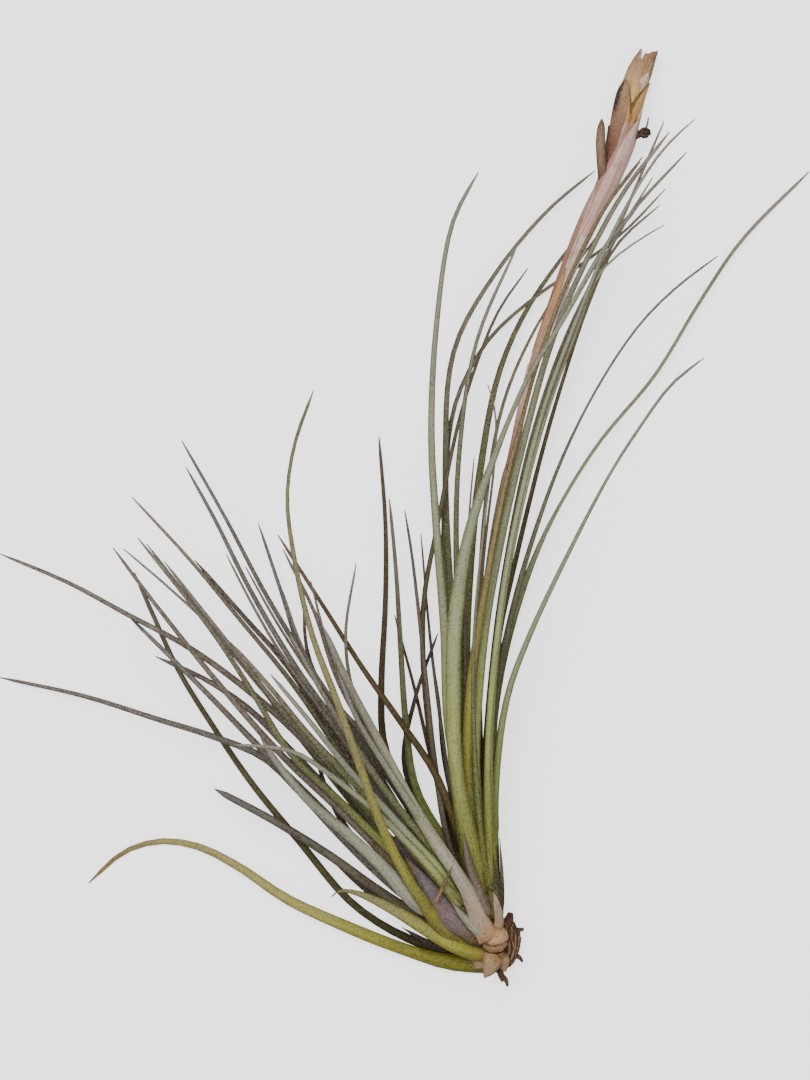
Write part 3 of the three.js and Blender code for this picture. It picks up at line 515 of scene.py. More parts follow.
OLD_LEAVES = {
    "old_leaf_long": Leaf(
        Tone.YELLOW, 3.6, (4.5, 2.2, 0.3), ((0, -6.5), (-15, -5.6), (-30, -0.8), (-50, 7.2), (-68, 15.6),
        (-83, 25.7), (-97, 32.8), (-110, 34.6), (-122, 31), (-133.7, 20.7)), 1.5, (0.3, 0.95)),
    "old_leaf_short": Scale(
        Tone.STRAWY, 5, (8, 17, 20), ((0, -3.8), (-10, -0.6), (-20, 5), (-32, 12.4), (-44, 18),
        (-50, 18.8), (-53, 16.6)), 1.3),
    "old_leaf_dark": Leaf(
        Tone.MOSS, 2.6, (2.2, 1.4, 1.2), ((-4, -3.5), (-19, -0.9), (-33, 5), (-47, 15), (-63, 34),
        (-79, 53.5), (-92, 72.5), (-104, 92), (-112, 109.5), (-118.5, 124.2)), 1.3, (0, 1.25)),
    "old_leaf_upright": Leaf(
        Tone.FADED, 3.1, (8.5, 55, 50), ((-5, 0), (-14.4, 5.2), (-22, 14.5), (-29, 26), (-36, 41),
        (-43.5, 62), (-50.5, 82), (-59, 105), (-65, 132), (-66.8, 149), (-64.5, 166), (-58.3, 184)), 1.9,
        (0.1, 0.85)),
}

UPRIGHT_SCALES = (
    Scale(Tone.MAUVE, 4.2, (16, 19.4, 20.5), ((-0.6, 10.5), (-3.8, 18), (-7.2, 28), (-9, 38)), 1.2),
    Scale(Tone.PAPER, 3.2, (15, 17.2, 17.6), ((3.2, 6.5), (2.6, 12), (1.2, 18)), 1.2),
    Scale(Tone.OLIVE, 1.7, (8, 9, 10), ((3.7, 7), (4, 20), (3.2, 36)), 1.6),
)

BASE_SCALES = (
    Scale(Tone.CORK, 6.4, (9.4, 8.8, 7.4), ((-1.6, -2.2), (-3.4, -5), (-5.2, -7.6)), 0.9),
    Scale(Tone.CORK, 6.6, (11.4, 11.2, 10.4), ((1, -2.4), (0.2, -6.2), (-2, -10.5)), 0.9),
    Scale(Tone.CORK, 5, (9.2, 9, 8.6), ((3.4, -2.2), (4.3, -5.4), (5.2, -8.6)), 0.9),
)

LEAFY_BRACT = Scale(Tone.RUSSET, 3.2, (6.5, 12.4, 9.4), ((38, 249), (37.1, 258), (36.6, 267),
                    (37.1, 275)), 0.8, blunt=12)
DRY_STRIP = Scale(Tone.TAN, 1.6, (24, 25.5, 27), ((-18.2, 15.4), (-15.2, 21.6), (-12.7, 27.2)), 1)
SILVER_SCALE = Scale(Tone.SHEATH, 3.4, (15.6, 18.2, 19.6), ((-2.2, 3.4), (-8, 9.2), (-12.7, 14.7)), 1.1)
HEATHER_SHEATH = Scale(Tone.HEATHER, 7.6, (11, 20.5, 24.5), ((-5.4, 1.4), (-10.6, 6.4), (-15.5, 12),
                       (-21, 20.5), (-28, 30)), 0.9)

# ------------------------------------------------------------------ meshes in the making


def put(name: str, data: bpy.types.ID) -> bpy.types.Object:
    """Adds an object to the scene.

    Args:
        name: the object's name.
        data: its mesh, lamp or camera.

    Returns:
        The object, at the origin.
    """
    made = bpy.data.objects.new(name, data)
    bpy.context.scene.collection.objects.link(made)
    return made


@dataclass
class Bead:
    """One vertex in the making: its place in millimetres, its tint and its place in the grain."""

    place: Vector
    tint: Vector
    grain: Vector


Ring = list[Bead]


class Skin:
    """A mesh in the making, whose vertices carry a tint and a place in the grain."""

    LOWEST = 0.02           # millimetres over the surface that the plant lies on
    CREASE = math.radians(48)   # the least angle between two faces that shows as an edge
    MERGED = 0.01           # millimetres, under which a sheet's vertices are one

    def __init__(self) -> None:
        """Starts with an empty mesh."""
        self.shape = bmesh.new()
        layers = self.shape.verts.layers
        self.spoke = layers.int.new("spoke")
        self.tint = layers.float_color.new("tint")
        self.grain = layers.float_vector.new("grain")

    def _set(self, vert: bmesh.types.BMVert, bead: Bead) -> None:
        """Puts a vertex where its bead says.

        Args:
            vert: the vertex.
            bead: its place, tint and grain.
        """
        x, y, z = bead.place
        vert.co = Vector((x, y, max(z, self.LOWEST))) * MM
        vert[self.tint] = (*bead.tint, 1)
        vert[self.grain] = bead.grain * MM

    def tube(self, rings: Sequence[Ring]) -> None:
        """Adds a closed tube by extruding a circle from ring to ring.

        Args:
            rings: the rings from one end to the other, all with equally many beads.
        """
        circle = bmesh.ops.create_circle(self.shape, segments=len(rings[0]), radius=1.0)["verts"]
        for number, (vert, bead) in enumerate(zip(circle, rings[0])):
            vert[self.spoke] = number
            self._set(vert, bead)
        first = list(dict.fromkeys(edge for vert in circle for edge in vert.link_edges))
        rim = first
        for ring in rings[1:]:
            grown = bmesh.ops.extrude_edge_only(self.shape, edges=rim)["geom"]
            for vert in grown:
                if isinstance(vert, bmesh.types.BMVert):
                    self._set(vert, ring[vert[self.spoke]])
            rim = [edge for edge in grown if isinstance(edge, bmesh.types.BMEdge) and edge.is_boundary]
        bmesh.ops.holes_fill(self.shape, edges=first + rim, sides=0)

    def sheet(self, columns: int, rows: int, bead: Callable[[float, float], Bead], thickness: float) -> None:
        """Adds a thin sheet.

        Args:
            columns: how many faces it has across.
            rows: how many faces it has along.
            bead: gives the bead at a place across, from -1 to 1, and along, from 0 to 1.
            thickness: in millimetres.
        """
        grid = bmesh.ops.create_grid(self.shape, x_segments=columns, y_segments=rows, size=1.0)["verts"]
        faces = list(dict.fromkeys(face for vert in grid for face in vert.link_faces))
        for vert in grid:
            self._set(vert, bead(vert.co.x, (vert.co.y + 1) / 2))
        bmesh.ops.remove_doubles(self.shape, verts=grid, dist=self.MERGED * MM)
        faces = [face for face in faces if face.is_valid]
        bmesh.ops.recalc_face_normals(self.shape, faces=faces)
        bmesh.ops.solidify(self.shape, geom=faces, thickness=thickness * MM)

    def lump(self, fineness: int, bead: Callable[[Vector], Bead]) -> None:
        """Adds a closed lump.

        Args:
            fineness: how often the ball that it starts from is divided.
            bead: gives the bead for a point of that ball, whose radius is 1.
        """
        ball = bmesh.ops.create_icosphere(self.shape, subdivisions=fineness, radius=1.0)["verts"]
        for vert in ball:
            self._set(vert, bead(vert.co.copy()))

    def piece(self, name: str, finish: "Finish", slot: str, nodes: Sequence[str]) -> bpy.types.Object:
        """Turns the mesh into a piece of the plant.

        Args:
            name: the piece's name.
            finish: what its surface is like.
            slot: not used.
            nodes: the solids that it stands for.

        Returns:
            The finished piece, which rides on the plant.
        """
        bmesh.ops.recalc_face_normals(self.shape, faces=self.shape.faces)
        for face in self.shape.faces:
            face.smooth = True
        mesh = bpy.data.meshes.new(name)
        self.shape.to_mesh(mesh)
        self.shape.free()
        mesh.set_sharp_from_angle(angle=self.CREASE)
        mesh.materials.append(finish.material())
        made = put(name, mesh)
        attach(made, "root")
        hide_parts(*nodes)
        LOG.info("%s: %d faces, for %s", name, len(mesh.polygons), ", ".join(nodes))
        return made


class LeafForm:
    """How one leaf is drawn out along its line, with its back to the outside of its rosette."""

    BACK_POINTS = 8         # of its section, with both margins
    CHANNEL_POINTS = 6
    STEP = 6.0              # millimetres between two sections
    LEAST_STEPS = 24
    FOOT_STEPS = (0, 0.12, 0.4, 1)      # of its rounded foot
    BACK_RISE = 0.55        # of its back over its margins, over its thickness
    FRONT_DROP = 0.45       # of its front under its margins, over its thickness
    CHANNEL_DEPTH = 0.6     # of the channel along its front, over its thickness
    CHANNEL_REACH = 0.84    # of the front's outermost points, over half of its width
    CHANNEL_START = (0.1, 0.35)         # the stretch in which the channel sets in
    CHANNEL_END = (0.8, 1)
    LEVELLING = (0.05, 0.45)            # the stretch in which its back turns up
    LIGHTNESS = (1.12, 1.48)
    WARMTH = 0.06
    FRONT_PAINTED_SHADE = 0.85      # painted shade in the channel of its front: how light the front is, over its back
    DEPTHS = (4, 27)        # the heights in millimetres between which leaves get less and less painted shade near their feet
    MOST_LOW_SHADE = 0.35      # how much painted shade darkens the lowest leaves near their feet
    LOW_SHADE_END = (0.12, 0.45)           # the stretch in which that passes off
    LOW_SHADE_BLUE = 0.6       # how much more of the blue that painted shade takes away
    WANDER = 0.12           # how much a leaf's lightness changes along it
    WANDERS = 9             # how often it does
    GRAIN_LENGTH = 400      # millimetres, over which the leaves start in the grain
    EDGE_SHADE_START = 0.35     # where painted shade sets in towards its margins
    EDGE_SHADE_DARKNESS = Vector((0.8, 0.85, 1.0))      # how strongly that painted shade darkens red, green and blue

    def __init__(self, leaf: Leaf, axis: Vector, dice: random.Random) -> None:
        """Draws this leaf's own lightness, warmth and place in the grain.

        Args:
            leaf: the leaf.
            axis: the point that its back is turned away from.
            dice: where the draws come from.
        """
        self.leaf = leaf
        self.line = leaf.line()
        self.palette = PALETTES[leaf.tone]
        self.out = (self.line.at(SHEATH_END) - axis).normalized()
        self.level = -UP if self.out.z < 0 else UP
        self.light = dice.uniform(*self.LIGHTNESS)
        self.warmth = dice.uniform(-self.WARMTH, self.WARMTH)
        # how deep the leaf lies, which sets how much painted shade its foot gets
        self.depth = 1 - smooth(leaf.heights[1], *self.DEPTHS)
        self.start = dice.uniform(0, self.GRAIN_LENGTH)

    def rings(self) -> list[Ring]:
        """Gives the leaf's sections.

        Returns:
            The rings of beads, from its foot to its tip.
        """
        count = max(self.LEAST_STEPS, round(self.line.length / self.STEP))
        foot = [self._ring(FOOT_ROUND * part) for part in self.FOOT_STEPS]
        return foot + [self._ring(step / count) for step in range(1, count + 1)]

    def _section(self, share: float) -> list[tuple[float, float, bool]]:
        """Gives the section at a share of the length.

        Args:
            share: 0 at the foot and 1 at the tip.

        Returns:
            For each point, its place across and up in millimetres, and whether it is on the back.
        """
        width = self.leaf.breadth(share)
        half = width / 2
        thick = min(width, self.leaf.width) * LEAF_RATIO
        drop = -half * SHEATH_WRAP * (1 - smooth(share, 0, WRAP_END))
        channel = smooth(share, *self.CHANNEL_START) * (1 - smooth(share, *self.CHANNEL_END))
        front = thick * (self.CHANNEL_DEPTH * channel - self.FRONT_DROP)
        points = []
        for number in range(self.BACK_POINTS):
            turn = math.pi * (number / (self.BACK_POINTS - 1) - 0.5)
            lift = self.BACK_RISE * thick * math.cos(turn)
            points.append((half * math.sin(turn), lift + drop * math.sin(turn) ** 2, True))
        for number in range(self.CHANNEL_POINTS):
            across = self.CHANNEL_REACH * (1 - 2 * number / (self.CHANNEL_POINTS - 1))
            points.append((half * across, drop * across ** 2 + front * (1 - across ** 2), False))
        return points

    def _ring(self, share: float) -> Ring:
        """Places the section at a share of the length.

        Args:
            share: 0 at the foot and 1 at the tip.

        Returns:
            The ring of beads.
        """
        along = self.line.along(share)
        back = self.out.lerp(self.level, smooth(share, *self.LEVELLING))
        back = (back - along * back.dot(along)).normalized()
        side = along.cross(back)
        centre = self.line.at(share)
        half = self.leaf.breadth(share) / 2
        reach = share * self.line.length + self.start
        ring = []
        for across, up, on_back in self._section(share):
            tint = self._tint(share, abs(across) / half, on_back)
            ring.append(Bead(centre + side * across + back * up, tint, Vector((across, up, reach))))
        return ring

    def _tint(self, share: float, outward: float, on_back: bool) -> Vector:
        """Gives the colour of a point, with painted shade on its margins, in the channel of its front and
        near the feet of low leaves.

        Args:
            share: its place along the leaf.
            outward: 0 on the leaf's middle line and 1 on its margin.
            on_back: whether it is on the back of the leaf.

        Returns:
            The linear colour.
        """
        wander = 1 + self.WANDER * noise.noise(Vector((share * self.WANDERS, self.start, 0)))
        # painted shade towards the margins
        margin = self.palette.margin * smooth(outward, self.EDGE_SHADE_START, 1)
        # painted shade near the feet of leaves that lie low in the rosette
        painted_low_shade = self.MOST_LOW_SHADE * self.depth * (1 - smooth(share, *self.LOW_SHADE_END))
        # with painted shade in the channel of the front
        light = self.light * wander * (1 if on_back else self.FRONT_PAINTED_SHADE) * (1 - painted_low_shade)
        warm = Vector((1 + self.warmth, 1, (1 - self.warmth) * (1 - self.LOW_SHADE_BLUE * painted_low_shade)))
        edging = Vector((1, 1, 1)) - self.EDGE_SHADE_DARKNESS * margin
        return self.palette.at(share) * light * warm * edging


def round_ring(centre: Vector, along: Vector, radius: float, sides: int, tint: Callable[[float], Vector],
               reach: float) -> Ring:
    """Gives a round section, starting from straight up.

    Args:
        centre: its middle.
        along: the direction that it is square to.
        radius: in millimetres.
        sides: how many points it has.
        tint: gives the colour at a turn from straight up, in radians.
        reach: how far along the grain it lies.

    Returns:
        The ring of beads.
    """
    side = along.cross(UP).normalized()
    rise = side.cross(along)
    ring = []
    for number in range(sides):
        turn = 2 * math.pi * number / sides
        across, up = radius * math.sin(turn), radius * math.cos(turn)
        ring.append(Bead(centre + side * across + rise * up, tint(turn), Vector((across, up, reach))))
    return ring


def rod_rings(points: Sequence[Spot], radii: Sequence[tuple[float, float]], shade: Shade, sides: int = 8,
              steps: int = 10) -> list[Ring]:
    """Gives the rings of a round rod.

    Args:
        points: what its smooth line passes through.
        radii: its radius by the share of the line, as (share, radius) pairs.
        shade: its one colour.
        sides: how many points each ring has.
        steps: how many stretches lie between its rings.

    Returns:
        The rings, from one end to the other.
    """
    line = SmoothLine([Vector(point) for point in points])
    colour = linear(shade)
    return [round_ring(line.at(step / steps), line.along(step / steps), look_up(radii, step / steps), sides,
                       lambda turn: colour, step / steps * line.length) for step in range(steps + 1)]


def ball_point(centre: Spot, size: Spot, spot: Vector, rough: float) -> Vector:
    """Moves a point of a ball whose radius is 1 to a rough egg of the given half sizes."""
    return Vector(centre) + Vector([spot[k] * size[k] * rough for k in range(3)])


def ripple(spot: Vector, waves: Sequence[tuple[float, float]]) -> float:
    """Sums noise at a point, from pairs of how deep it is and how often it changes."""
    return sum(depth * noise.noise(spot * often) for depth, often in waves)


def mottled(dark: Shade, pale: Shade, value: float, start: float, end: float) -> Vector:
    """Gives a linear colour that turns from dark to pale as a value goes from the start to the end."""
    return linear(dark).lerp(linear(pale), smooth(value, start, end))


# ------------------------------------------------------------------ surfaces

PATCH_SCALE = 0.16                  # of the patches of scurf, over that of its scales
PIT_SHADE = (0.3, 0.3, 0.22, 1)     # times the tint, in the gaps of the scurf
SCURF_RISE = (0.45, 0.62)           # the noise values between which each of these sets in
PATCH_RISE = (0.32, 0.62, 0.35, 1)  # with the least and the most of the scurf that its patches leave
PIT_RISE = (0.47, 0.33)
STREAK_RISE = (0.52, 0.34)
BLOTCH_RISE = (0.54, 0.66)
STREAKS_ALONG = 55.0                # per metre
STREAK_SHADE = (0.34, 0.26, 0.2, 1)     # times the tint, in the streaks


class Graph:
    """A node tree, with short ways to add and join its nodes."""

    ROUGHNESS = 0.6         # of its noise textures

    def __init__(self, tree: bpy.types.NodeTree) -> None:
        """Works on the given tree."""
        self.tree = tree

    def add(self, kind: str, values: dict | None = None, **settings: object) -> bpy.types.Node:
        """Adds a node.

        Args:
            kind: the node's type.
            values: for inputs, by name or number, a value or the output that feeds it.
            settings: the node's own settings.

        Returns:
            The new node.
        """
        made = self.tree.nodes.new(kind)
        for name, value in settings.items():
            setattr(made, name, value)
        for name, value in (values or {}).items():
            if isinstance(value, bpy.types.NodeSocket):
                self.tree.links.new(value, made.inputs[name])
            else:
                made.inputs[name].default_value = value
        return made

    def noise(self, place: bpy.types.NodeSocket, scale: object, detail: float = 2.0) -> bpy.types.NodeSocket:
        """Adds a noise texture and gives its value."""
        made = self.add("ShaderNodeTexNoise", {"Vector": place, "Scale": scale, "Detail": detail,
                                               "Roughness": self.ROUGHNESS})
        return made.outputs[0]

    def spread(self, value: bpy.types.NodeSocket, start: float, end: float, low: float = 0.0,
               high: float = 1.0) -> bpy.types.NodeSocket:
        """Stretches the values between start and end to low and high."""
        made = self.add("ShaderNodeMapRange", {0: value, 1: start, 2: end, 3: low, 4: high})
        return made.outputs[0]

    def sum(self, operation: str, first: object, second: object) -> bpy.types.NodeSocket:
        """Joins two values with a math operation."""
        return self.add("ShaderNodeMath", {0: first, 1: second}, operation=operation).outputs[0]

    def mix(self, factor: object, first: object, second: object, blend: str = "MIX") -> bpy.types.NodeSocket:
        """Mixes two colours."""
        return self.add("ShaderNodeMix", {0: factor, 6: first, 7: second}, data_type="RGBA",
                        blend_type=blend).outputs[2]


def start_group(name: str, inputs: dict[str, str],
                outputs: dict[str, str]) -> tuple[Graph, dict, bpy.types.Node]:
    """Starts a shader node group.

    Args:
        name: the group's name.
        inputs: for each input, its kind of socket.
        outputs: for each output, its kind of socket.

    Returns:
        The graph, its inputs by name, and the node that takes its outputs.
    """
    tree = bpy.data.node_groups.new(name, "ShaderNodeTree")
    for label, kind in inputs.items():
        tree.interface.new_socket(name=label, in_out="INPUT", socket_type=f"NodeSocket{kind}")
    for label, kind in outputs.items():
        tree.interface.new_socket(name=label, in_out="OUTPUT", socket_type=f"NodeSocket{kind}")
    graph = Graph(tree)
    given = graph.add("NodeGroupInput").outputs
    return graph, {label: given[label] for label in inputs}, graph.add("NodeGroupOutput")


@cache
def scurf_group() -> bpy.types.NodeTree:
    """Builds the group for the fine pale scales on a leaf, with darker tissue showing between them.

    Returns:
        The group, whose height is that of the scales.
    """
    graph, given, result = start_group(
        "Leaf scurf",
        {"Tint": "Color", "Place": "Vector", "Pale": "Color", "Cover": "Float", "Pits": "Float",
         "Scale": "Float"},
        {"Color": "Color", "Height": "Float"})
    fine = graph.noise(given["Place"], given["Scale"], 3.0)
    patches = graph.noise(given["Place"], graph.sum("MULTIPLY", given["Scale"], PATCH_SCALE))
    cover = graph.sum("MULTIPLY", graph.spread(fine, *SCURF_RISE), graph.spread(patches, *PATCH_RISE))
    cover = graph.sum("MULTIPLY", cover, given["Cover"])
    pits = graph.sum("MULTIPLY", graph.spread(fine, *PIT_RISE), given["Pits"])
    dark = graph.mix(1.0, given["Tint"], PIT_SHADE, "MULTIPLY")
    colour = graph.mix(cover, graph.mix(pits, given["Tint"], dark), given["Pale"])
    graph.tree.links.new(colour, result.inputs["Color"])
    graph.tree.links.new(fine, result.inputs["Height"])
    return graph.tree


@cache
def grain_group() -> bpy.types.NodeTree:
    """Builds the group for streaks that run the length of a leaf, a bract or a stem.

    Returns:
        The group, whose height is that of the streaks.
    """
    graph, given, result = start_group(
        "Lengthwise grain",
        {"Color": "Color", "Grain": "Vector", "Amount": "Float", "Fineness": "Float"},
        {"Color": "Color", "Height": "Float"})
    thin = graph.add("ShaderNodeCombineXYZ", {0: given["Fineness"], 1: given["Fineness"],
                                              2: STREAKS_ALONG}).outputs[0]
    place = graph.add("ShaderNodeVectorMath", {0: given["Grain"], 1: thin}, operation="MULTIPLY").outputs[0]
    streak = graph.noise(place, 1.0, 2.5)
    shadow = graph.sum("MULTIPLY", graph.spread(streak, *STREAK_RISE), given["Amount"])
    dark = graph.mix(1.0, given["Color"], STREAK_SHADE, "MULTIPLY")
    graph.tree.links.new(graph.mix(shadow, given["Color"], dark), result.inputs["Color"])
    graph.tree.links.new(streak, result.inputs["Height"])
    return graph.tree


@cache
def stain_group() -> bpy.types.NodeTree:
    """Builds the group for blotches of another colour, such as the yellow spots of an old leaf.

    Returns:
        The group.
    """
    graph, given, result = start_group(
        "Blotches",
        {"Color": "Color", "Place": "Vector", "Stain": "Color", "Amount": "Float", "Scale": "Float"},
        {"Color": "Color"})
    spots = graph.spread(graph.noise(given["Place"], given["Scale"]), *BLOTCH_RISE)
    colour = graph.mix(graph.sum("MULTIPLY", spots, given["Amount"]), given["Color"], given["Stain"])
    graph.tree.links.new(colour, result.inputs["Color"])
    return graph.tree


@dataclass(frozen=True)
class Finish:
    """What a surface of the plant is like, over the tint that its vertices carry."""

    name: str
    roughness: float
    pale: Shade             # the scurf's shade
    cover: float            # how much of it there is
    pits: float             # how dark the gaps between it are
    scurf_scale: float      # its spots per metre
    grain: float            # how strong the lengthwise streaks are
    fineness: float         # streaks per metre across
    stain: Shade
    stained: float          # how strong the blotches are
    stain_scale: float
    relief: float           # millimetres

    BUMP = 0.7
    GLOSS = 0.3

    @cache
    def material(self) -> bpy.types.Material:
        """Builds the material, once.

        Returns:
            The material, which every piece with this finish shares.
        """
        made = bpy.data.materials.new(self.name)
        made.use_nodes = True
        made.node_tree.nodes.clear()
        graph = Graph(made.node_tree)
        place = graph.add("ShaderNodeTexCoord").outputs["Object"]
        tint = graph.add("ShaderNodeAttribute", attribute_name="tint").outputs["Color"]
        lines = graph.add("ShaderNodeAttribute", attribute_name="grain").outputs["Vector"]
        grain = graph.add("ShaderNodeGroup", {"Color": tint, "Grain": lines, "Amount": self.grain,
                                              "Fineness": self.fineness}, node_tree=grain_group())
        stain = graph.add("ShaderNodeGroup", {"Color": grain.outputs["Color"], "Place": place,
                                              "Stain": (*linear(self.stain), 1), "Amount": self.stained,
                                              "Scale": self.stain_scale}, node_tree=stain_group())
        scurf = graph.add("ShaderNodeGroup", {"Tint": stain.outputs["Color"], "Place": place,
                                              "Pale": (*linear(self.pale), 1), "Cover": self.cover,
                                              "Pits": self.pits, "Scale": self.scurf_scale},
                          node_tree=scurf_group())
        height = graph.sum("ADD", scurf.outputs["Height"], grain.outputs["Height"])
        bump = graph.add("ShaderNodeBump", {"Strength": self.BUMP, "Distance": self.relief * MM,
                                            "Height": height})
        shader = graph.add("ShaderNodeBsdfPrincipled", {
            "Base Color": scurf.outputs["Color"], "Roughness": self.roughness,
            "Specular IOR Level": self.GLOSS, "Normal": bump.outputs[0]})
        graph.add("ShaderNodeOutputMaterial", {"Surface": shader.outputs[0]})
        return made


GREEN_LEAF = Finish(
    "green leaf", roughness=0.6, pale=(190, 196, 142), cover=0.2, pits=0.6, scurf_scale=1500, grain=0.4,
    fineness=2600, stain=(150, 146, 50), stained=0.15, stain_scale=160, relief=0.18)
SILVER_LEAF = Finish(
    "silver leaf", roughness=0.64, pale=(200, 200, 184), cover=0.24, pits=0.5, scurf_scale=1500, grain=0.45,
    fineness=2600, stain=(128, 96, 70), stained=0.15, stain_scale=160, relief=0.2)
SHEATH_SKIN = Finish(
    "sheath skin", roughness=0.66, pale=(196, 186, 186), cover=0.22, pits=0.2, scurf_scale=1300, grain=0.4,
    fineness=2200, stain=(150, 98, 62), stained=0.3, stain_scale=130, relief=0.2)
DRY_LEAF = Finish(
    "dry leaf", roughness=0.7, pale=(176, 160, 136), cover=0.14, pits=0.6, scurf_scale=1500, grain=0.5,
    fineness=2600, stain=(70, 48, 30), stained=0.3, stain_scale=190, relief=0.18)
OLD_LEAF = Finish(
    "old leaf", roughness=0.56, pale=(206, 204, 120), cover=0.18, pits=0.6, scurf_scale=1300, grain=0.3,
    fineness=2200, stain=(160, 150, 40), stained=0.35, stain_scale=150, relief=0.18)
PINK_STEM = Finish(
    "pink stem", roughness=0.55, pale=(226, 200, 192), cover=0.14, pits=0.25, scurf_scale=1100, grain=0.5,
    fineness=1900, stain=(150, 98, 78), stained=0.3, stain_scale=120, relief=0.2)
DRY_BRACT = Finish(
    "dry bract", roughness=0.7, pale=(222, 196, 150), cover=0.12, pits=0.35, scurf_scale=1200, grain=0.55,
    fineness=2600, stain=(130, 84, 44), stained=0.35, stain_scale=260, relief=0.22)
KNUCKLE_BARK = Finish(
    "knuckle bark", roughness=0.75, pale=(206, 176, 136), cover=0.3, pits=0.55, scurf_scale=1300, grain=0.3,
    fineness=1600, stain=(104, 66, 42), stained=0.45, stain_scale=320, relief=0.35)
DEAD_WOOD = Finish(
    "dead wood", roughness=0.85, pale=(190, 150, 116), cover=0.25, pits=0.6, scurf_scale=1300, grain=0.6,
    fineness=1800, stain=(26, 16, 12), stained=0.5, stain_scale=380, relief=0.5)

# ------------------------------------------------------------------ the plant


@dataclass(frozen=True)
class Core:
    """The spindle in a rosette that its leaves stand out of."""

    start: Spot
    end: Spot
    radius: float
    shade: Shade

    PROFILE = ((0, 0.62), (0.2, 0.9), (0.5, 0.76), (1, 0.45))   # its thickness by the share, over its radius

    def rings(self) -> list[Ring]:
        """Gives the spindle's sections.

        Returns:
            The rings of beads, from its foot to its end.
        """
        radii = [(share, width * self.radius) for share, width in self.PROFILE]
        middle = tuple((first + last) / 2 for first, last in zip(self.start, self.end))
        return rod_rings((self.start, middle, self.end), radii, self.shade, sides=14, steps=8)


@dataclass(frozen=True)
class Rosette:
    """A rosette: its core and its leaves, made in a few bunches."""

    name: str
    slot: str
    core: Core
    leaves: tuple[Leaf, ...]
    core_finish: Finish
    finish: Finish
    bunches: int
    seed: int

    def build(self) -> None:
        """Builds the core and every bunch of leaves."""
        dice = random.Random(self.seed)
        node = f"{self.name}_rosette"
        heart = Skin()
        heart.tube(self.core.rings())
        heart.piece(f"{self.name}_heart", self.core_finish, self.slot, [node])
        axis = Vector(self.core.start)
        forms = [LeafForm(leaf.in_spiral(order), axis, dice) for order, leaf in enumerate(self.leaves)]
        for number in range(self.bunches):
            bunch = Skin()
            for form in forms[number::self.bunches]:
                bunch.tube(form.rings())
            bunch.piece(f"{self.name}_leaves_{number + 1}", self.finish, self.slot, [node])


@dataclass(frozen=True)
class LooseLeaf:
    """A leaf or a scale that is a piece of its own."""

    name: str
    leaf: Leaf
    axis: Spot
    finish: Finish
    slot: str
    seed: int
    node: str = ""          # that it stands for, where that has another name

    def build(self) -> None:
        """Builds the leaf."""
        skin = Skin()
        skin.tube(LeafForm(self.leaf, Vector(self.axis), random.Random(self.seed)).rings())
        skin.piece(self.name, self.finish, self.slot, [self.node or self.name])


class Side(Enum):
    """The margins of a bract that are edged with its edge shade."""

    LEFT = -1
    BOTH = 0
    RIGHT = 1


@dataclass(frozen=True)
class Bract:
    """A bract that wraps the flower stem or the head, from its foot to a free point."""

    place: float            # of its foot, on the stem's whole line
    length: float
    turn: float             # of its middle at the foot, in degrees from straight up, to the right
    lean: float             # how much further round its point lies
    wrap: float             # half of its reach round the stem at its foot, in degrees
    lift: float             # how far its point stands off
    foot: Shade
    tip: Shade
    edge: Shade
    edged: Side = Side.BOTH
    edge_start: float = 0.0     # where along the bract its edge shade sets in
    blunt: float = 2.2          # higher for a blunter point
    edge_width: float = 0.34    # of its edged margins, over half of its reach

    THICKNESS = 0.22        # millimetres
    STAND_OFF = 0.12        # millimetres between its foot and what it wraps
    KEEL = 0.25             # how far its middle line stands up at its point
    ROUNDING = 0.8          # lower for a rounder point
    FLARE = 1.6             # higher for a point that stands off later
    RIPENING = (0.2, 0.95)  # the stretch in which the foot's shade gives way to the point's
    EDGE_FADE = 0.2         # the stretch in which its edge shade sets in
    LAST_TURN = 0.996       # of the stem's line, past which bracts run straight on

    def bead(self, line: SmoothLine, across: float, along: float) -> Bead:
        """Gives the bead at a place on the bract.

        Args:
            line: the stem's whole line.
            across: from -1 at its left margin to 1 at its right one.
            along: from 0 at the foot to 1 at the point.

        Returns:
            The bead.
        """
        share = self.place + along * self.length / line.length
        reach = math.radians(self.wrap) * (1 - along ** self.blunt) ** self.ROUNDING
        turn = math.radians(self.turn + self.lean * along) + across * reach
        off = core_radius(min(share, 1)) + self.STAND_OFF + self.lift * along ** self.FLARE
        off += self.KEEL * along * (1 - abs(across)) ** 2
        direction = line.along(min(share, self.LAST_TURN))
        side = direction.cross(UP).normalized()
        out = side * math.sin(turn) + side.cross(direction) * math.cos(turn)
        centre = line.at(share) + direction * max(share - 1, 0) * line.length
        outward = abs(across) if self.edged is Side.BOTH else across * self.edged.value
        edging = smooth(outward, 1 - self.edge_width, 1 - 0.5 * self.edge_width)
        edging *= smooth(along, self.edge_start - self.EDGE_FADE, self.edge_start)
        colour = linear(self.foot).lerp(linear(self.tip), smooth(along, *self.RIPENING))
        colour = colour.lerp(linear(self.edge), edging)
        grain = Vector((across * reach * off, self.turn, along * self.length + self.place * line.length))
        return Bead(centre + out * off, colour, grain)


def core_radius(share: float) -> float:
    """Gives the radius under the bracts.

    Args:
        share: the place on the stem's whole line.

    Returns:
        The radius there, in millimetres.
    """
    if share <= STEM_END:
        neck = NECK_DEPTH * smooth(share, NECK_START, STEM_END)
        return look_up(STEM_RADII, share / STEM_END) - BRACT_ROOM - neck
    return HEAD_FILLING * look_up(HEAD_RADII, (share - STEM_END) / (1 - STEM_END))


def core_ring(line: SmoothLine, share: float, radius: float, sides: int,
              tint: Callable[[float], Vector]) -> Ring:
    """Gives a round section of what is under the bracts, square to the stem's whole line."""
    return round_ring(line.at(share), line.along(share), radius, sides, tint, share * line.length)


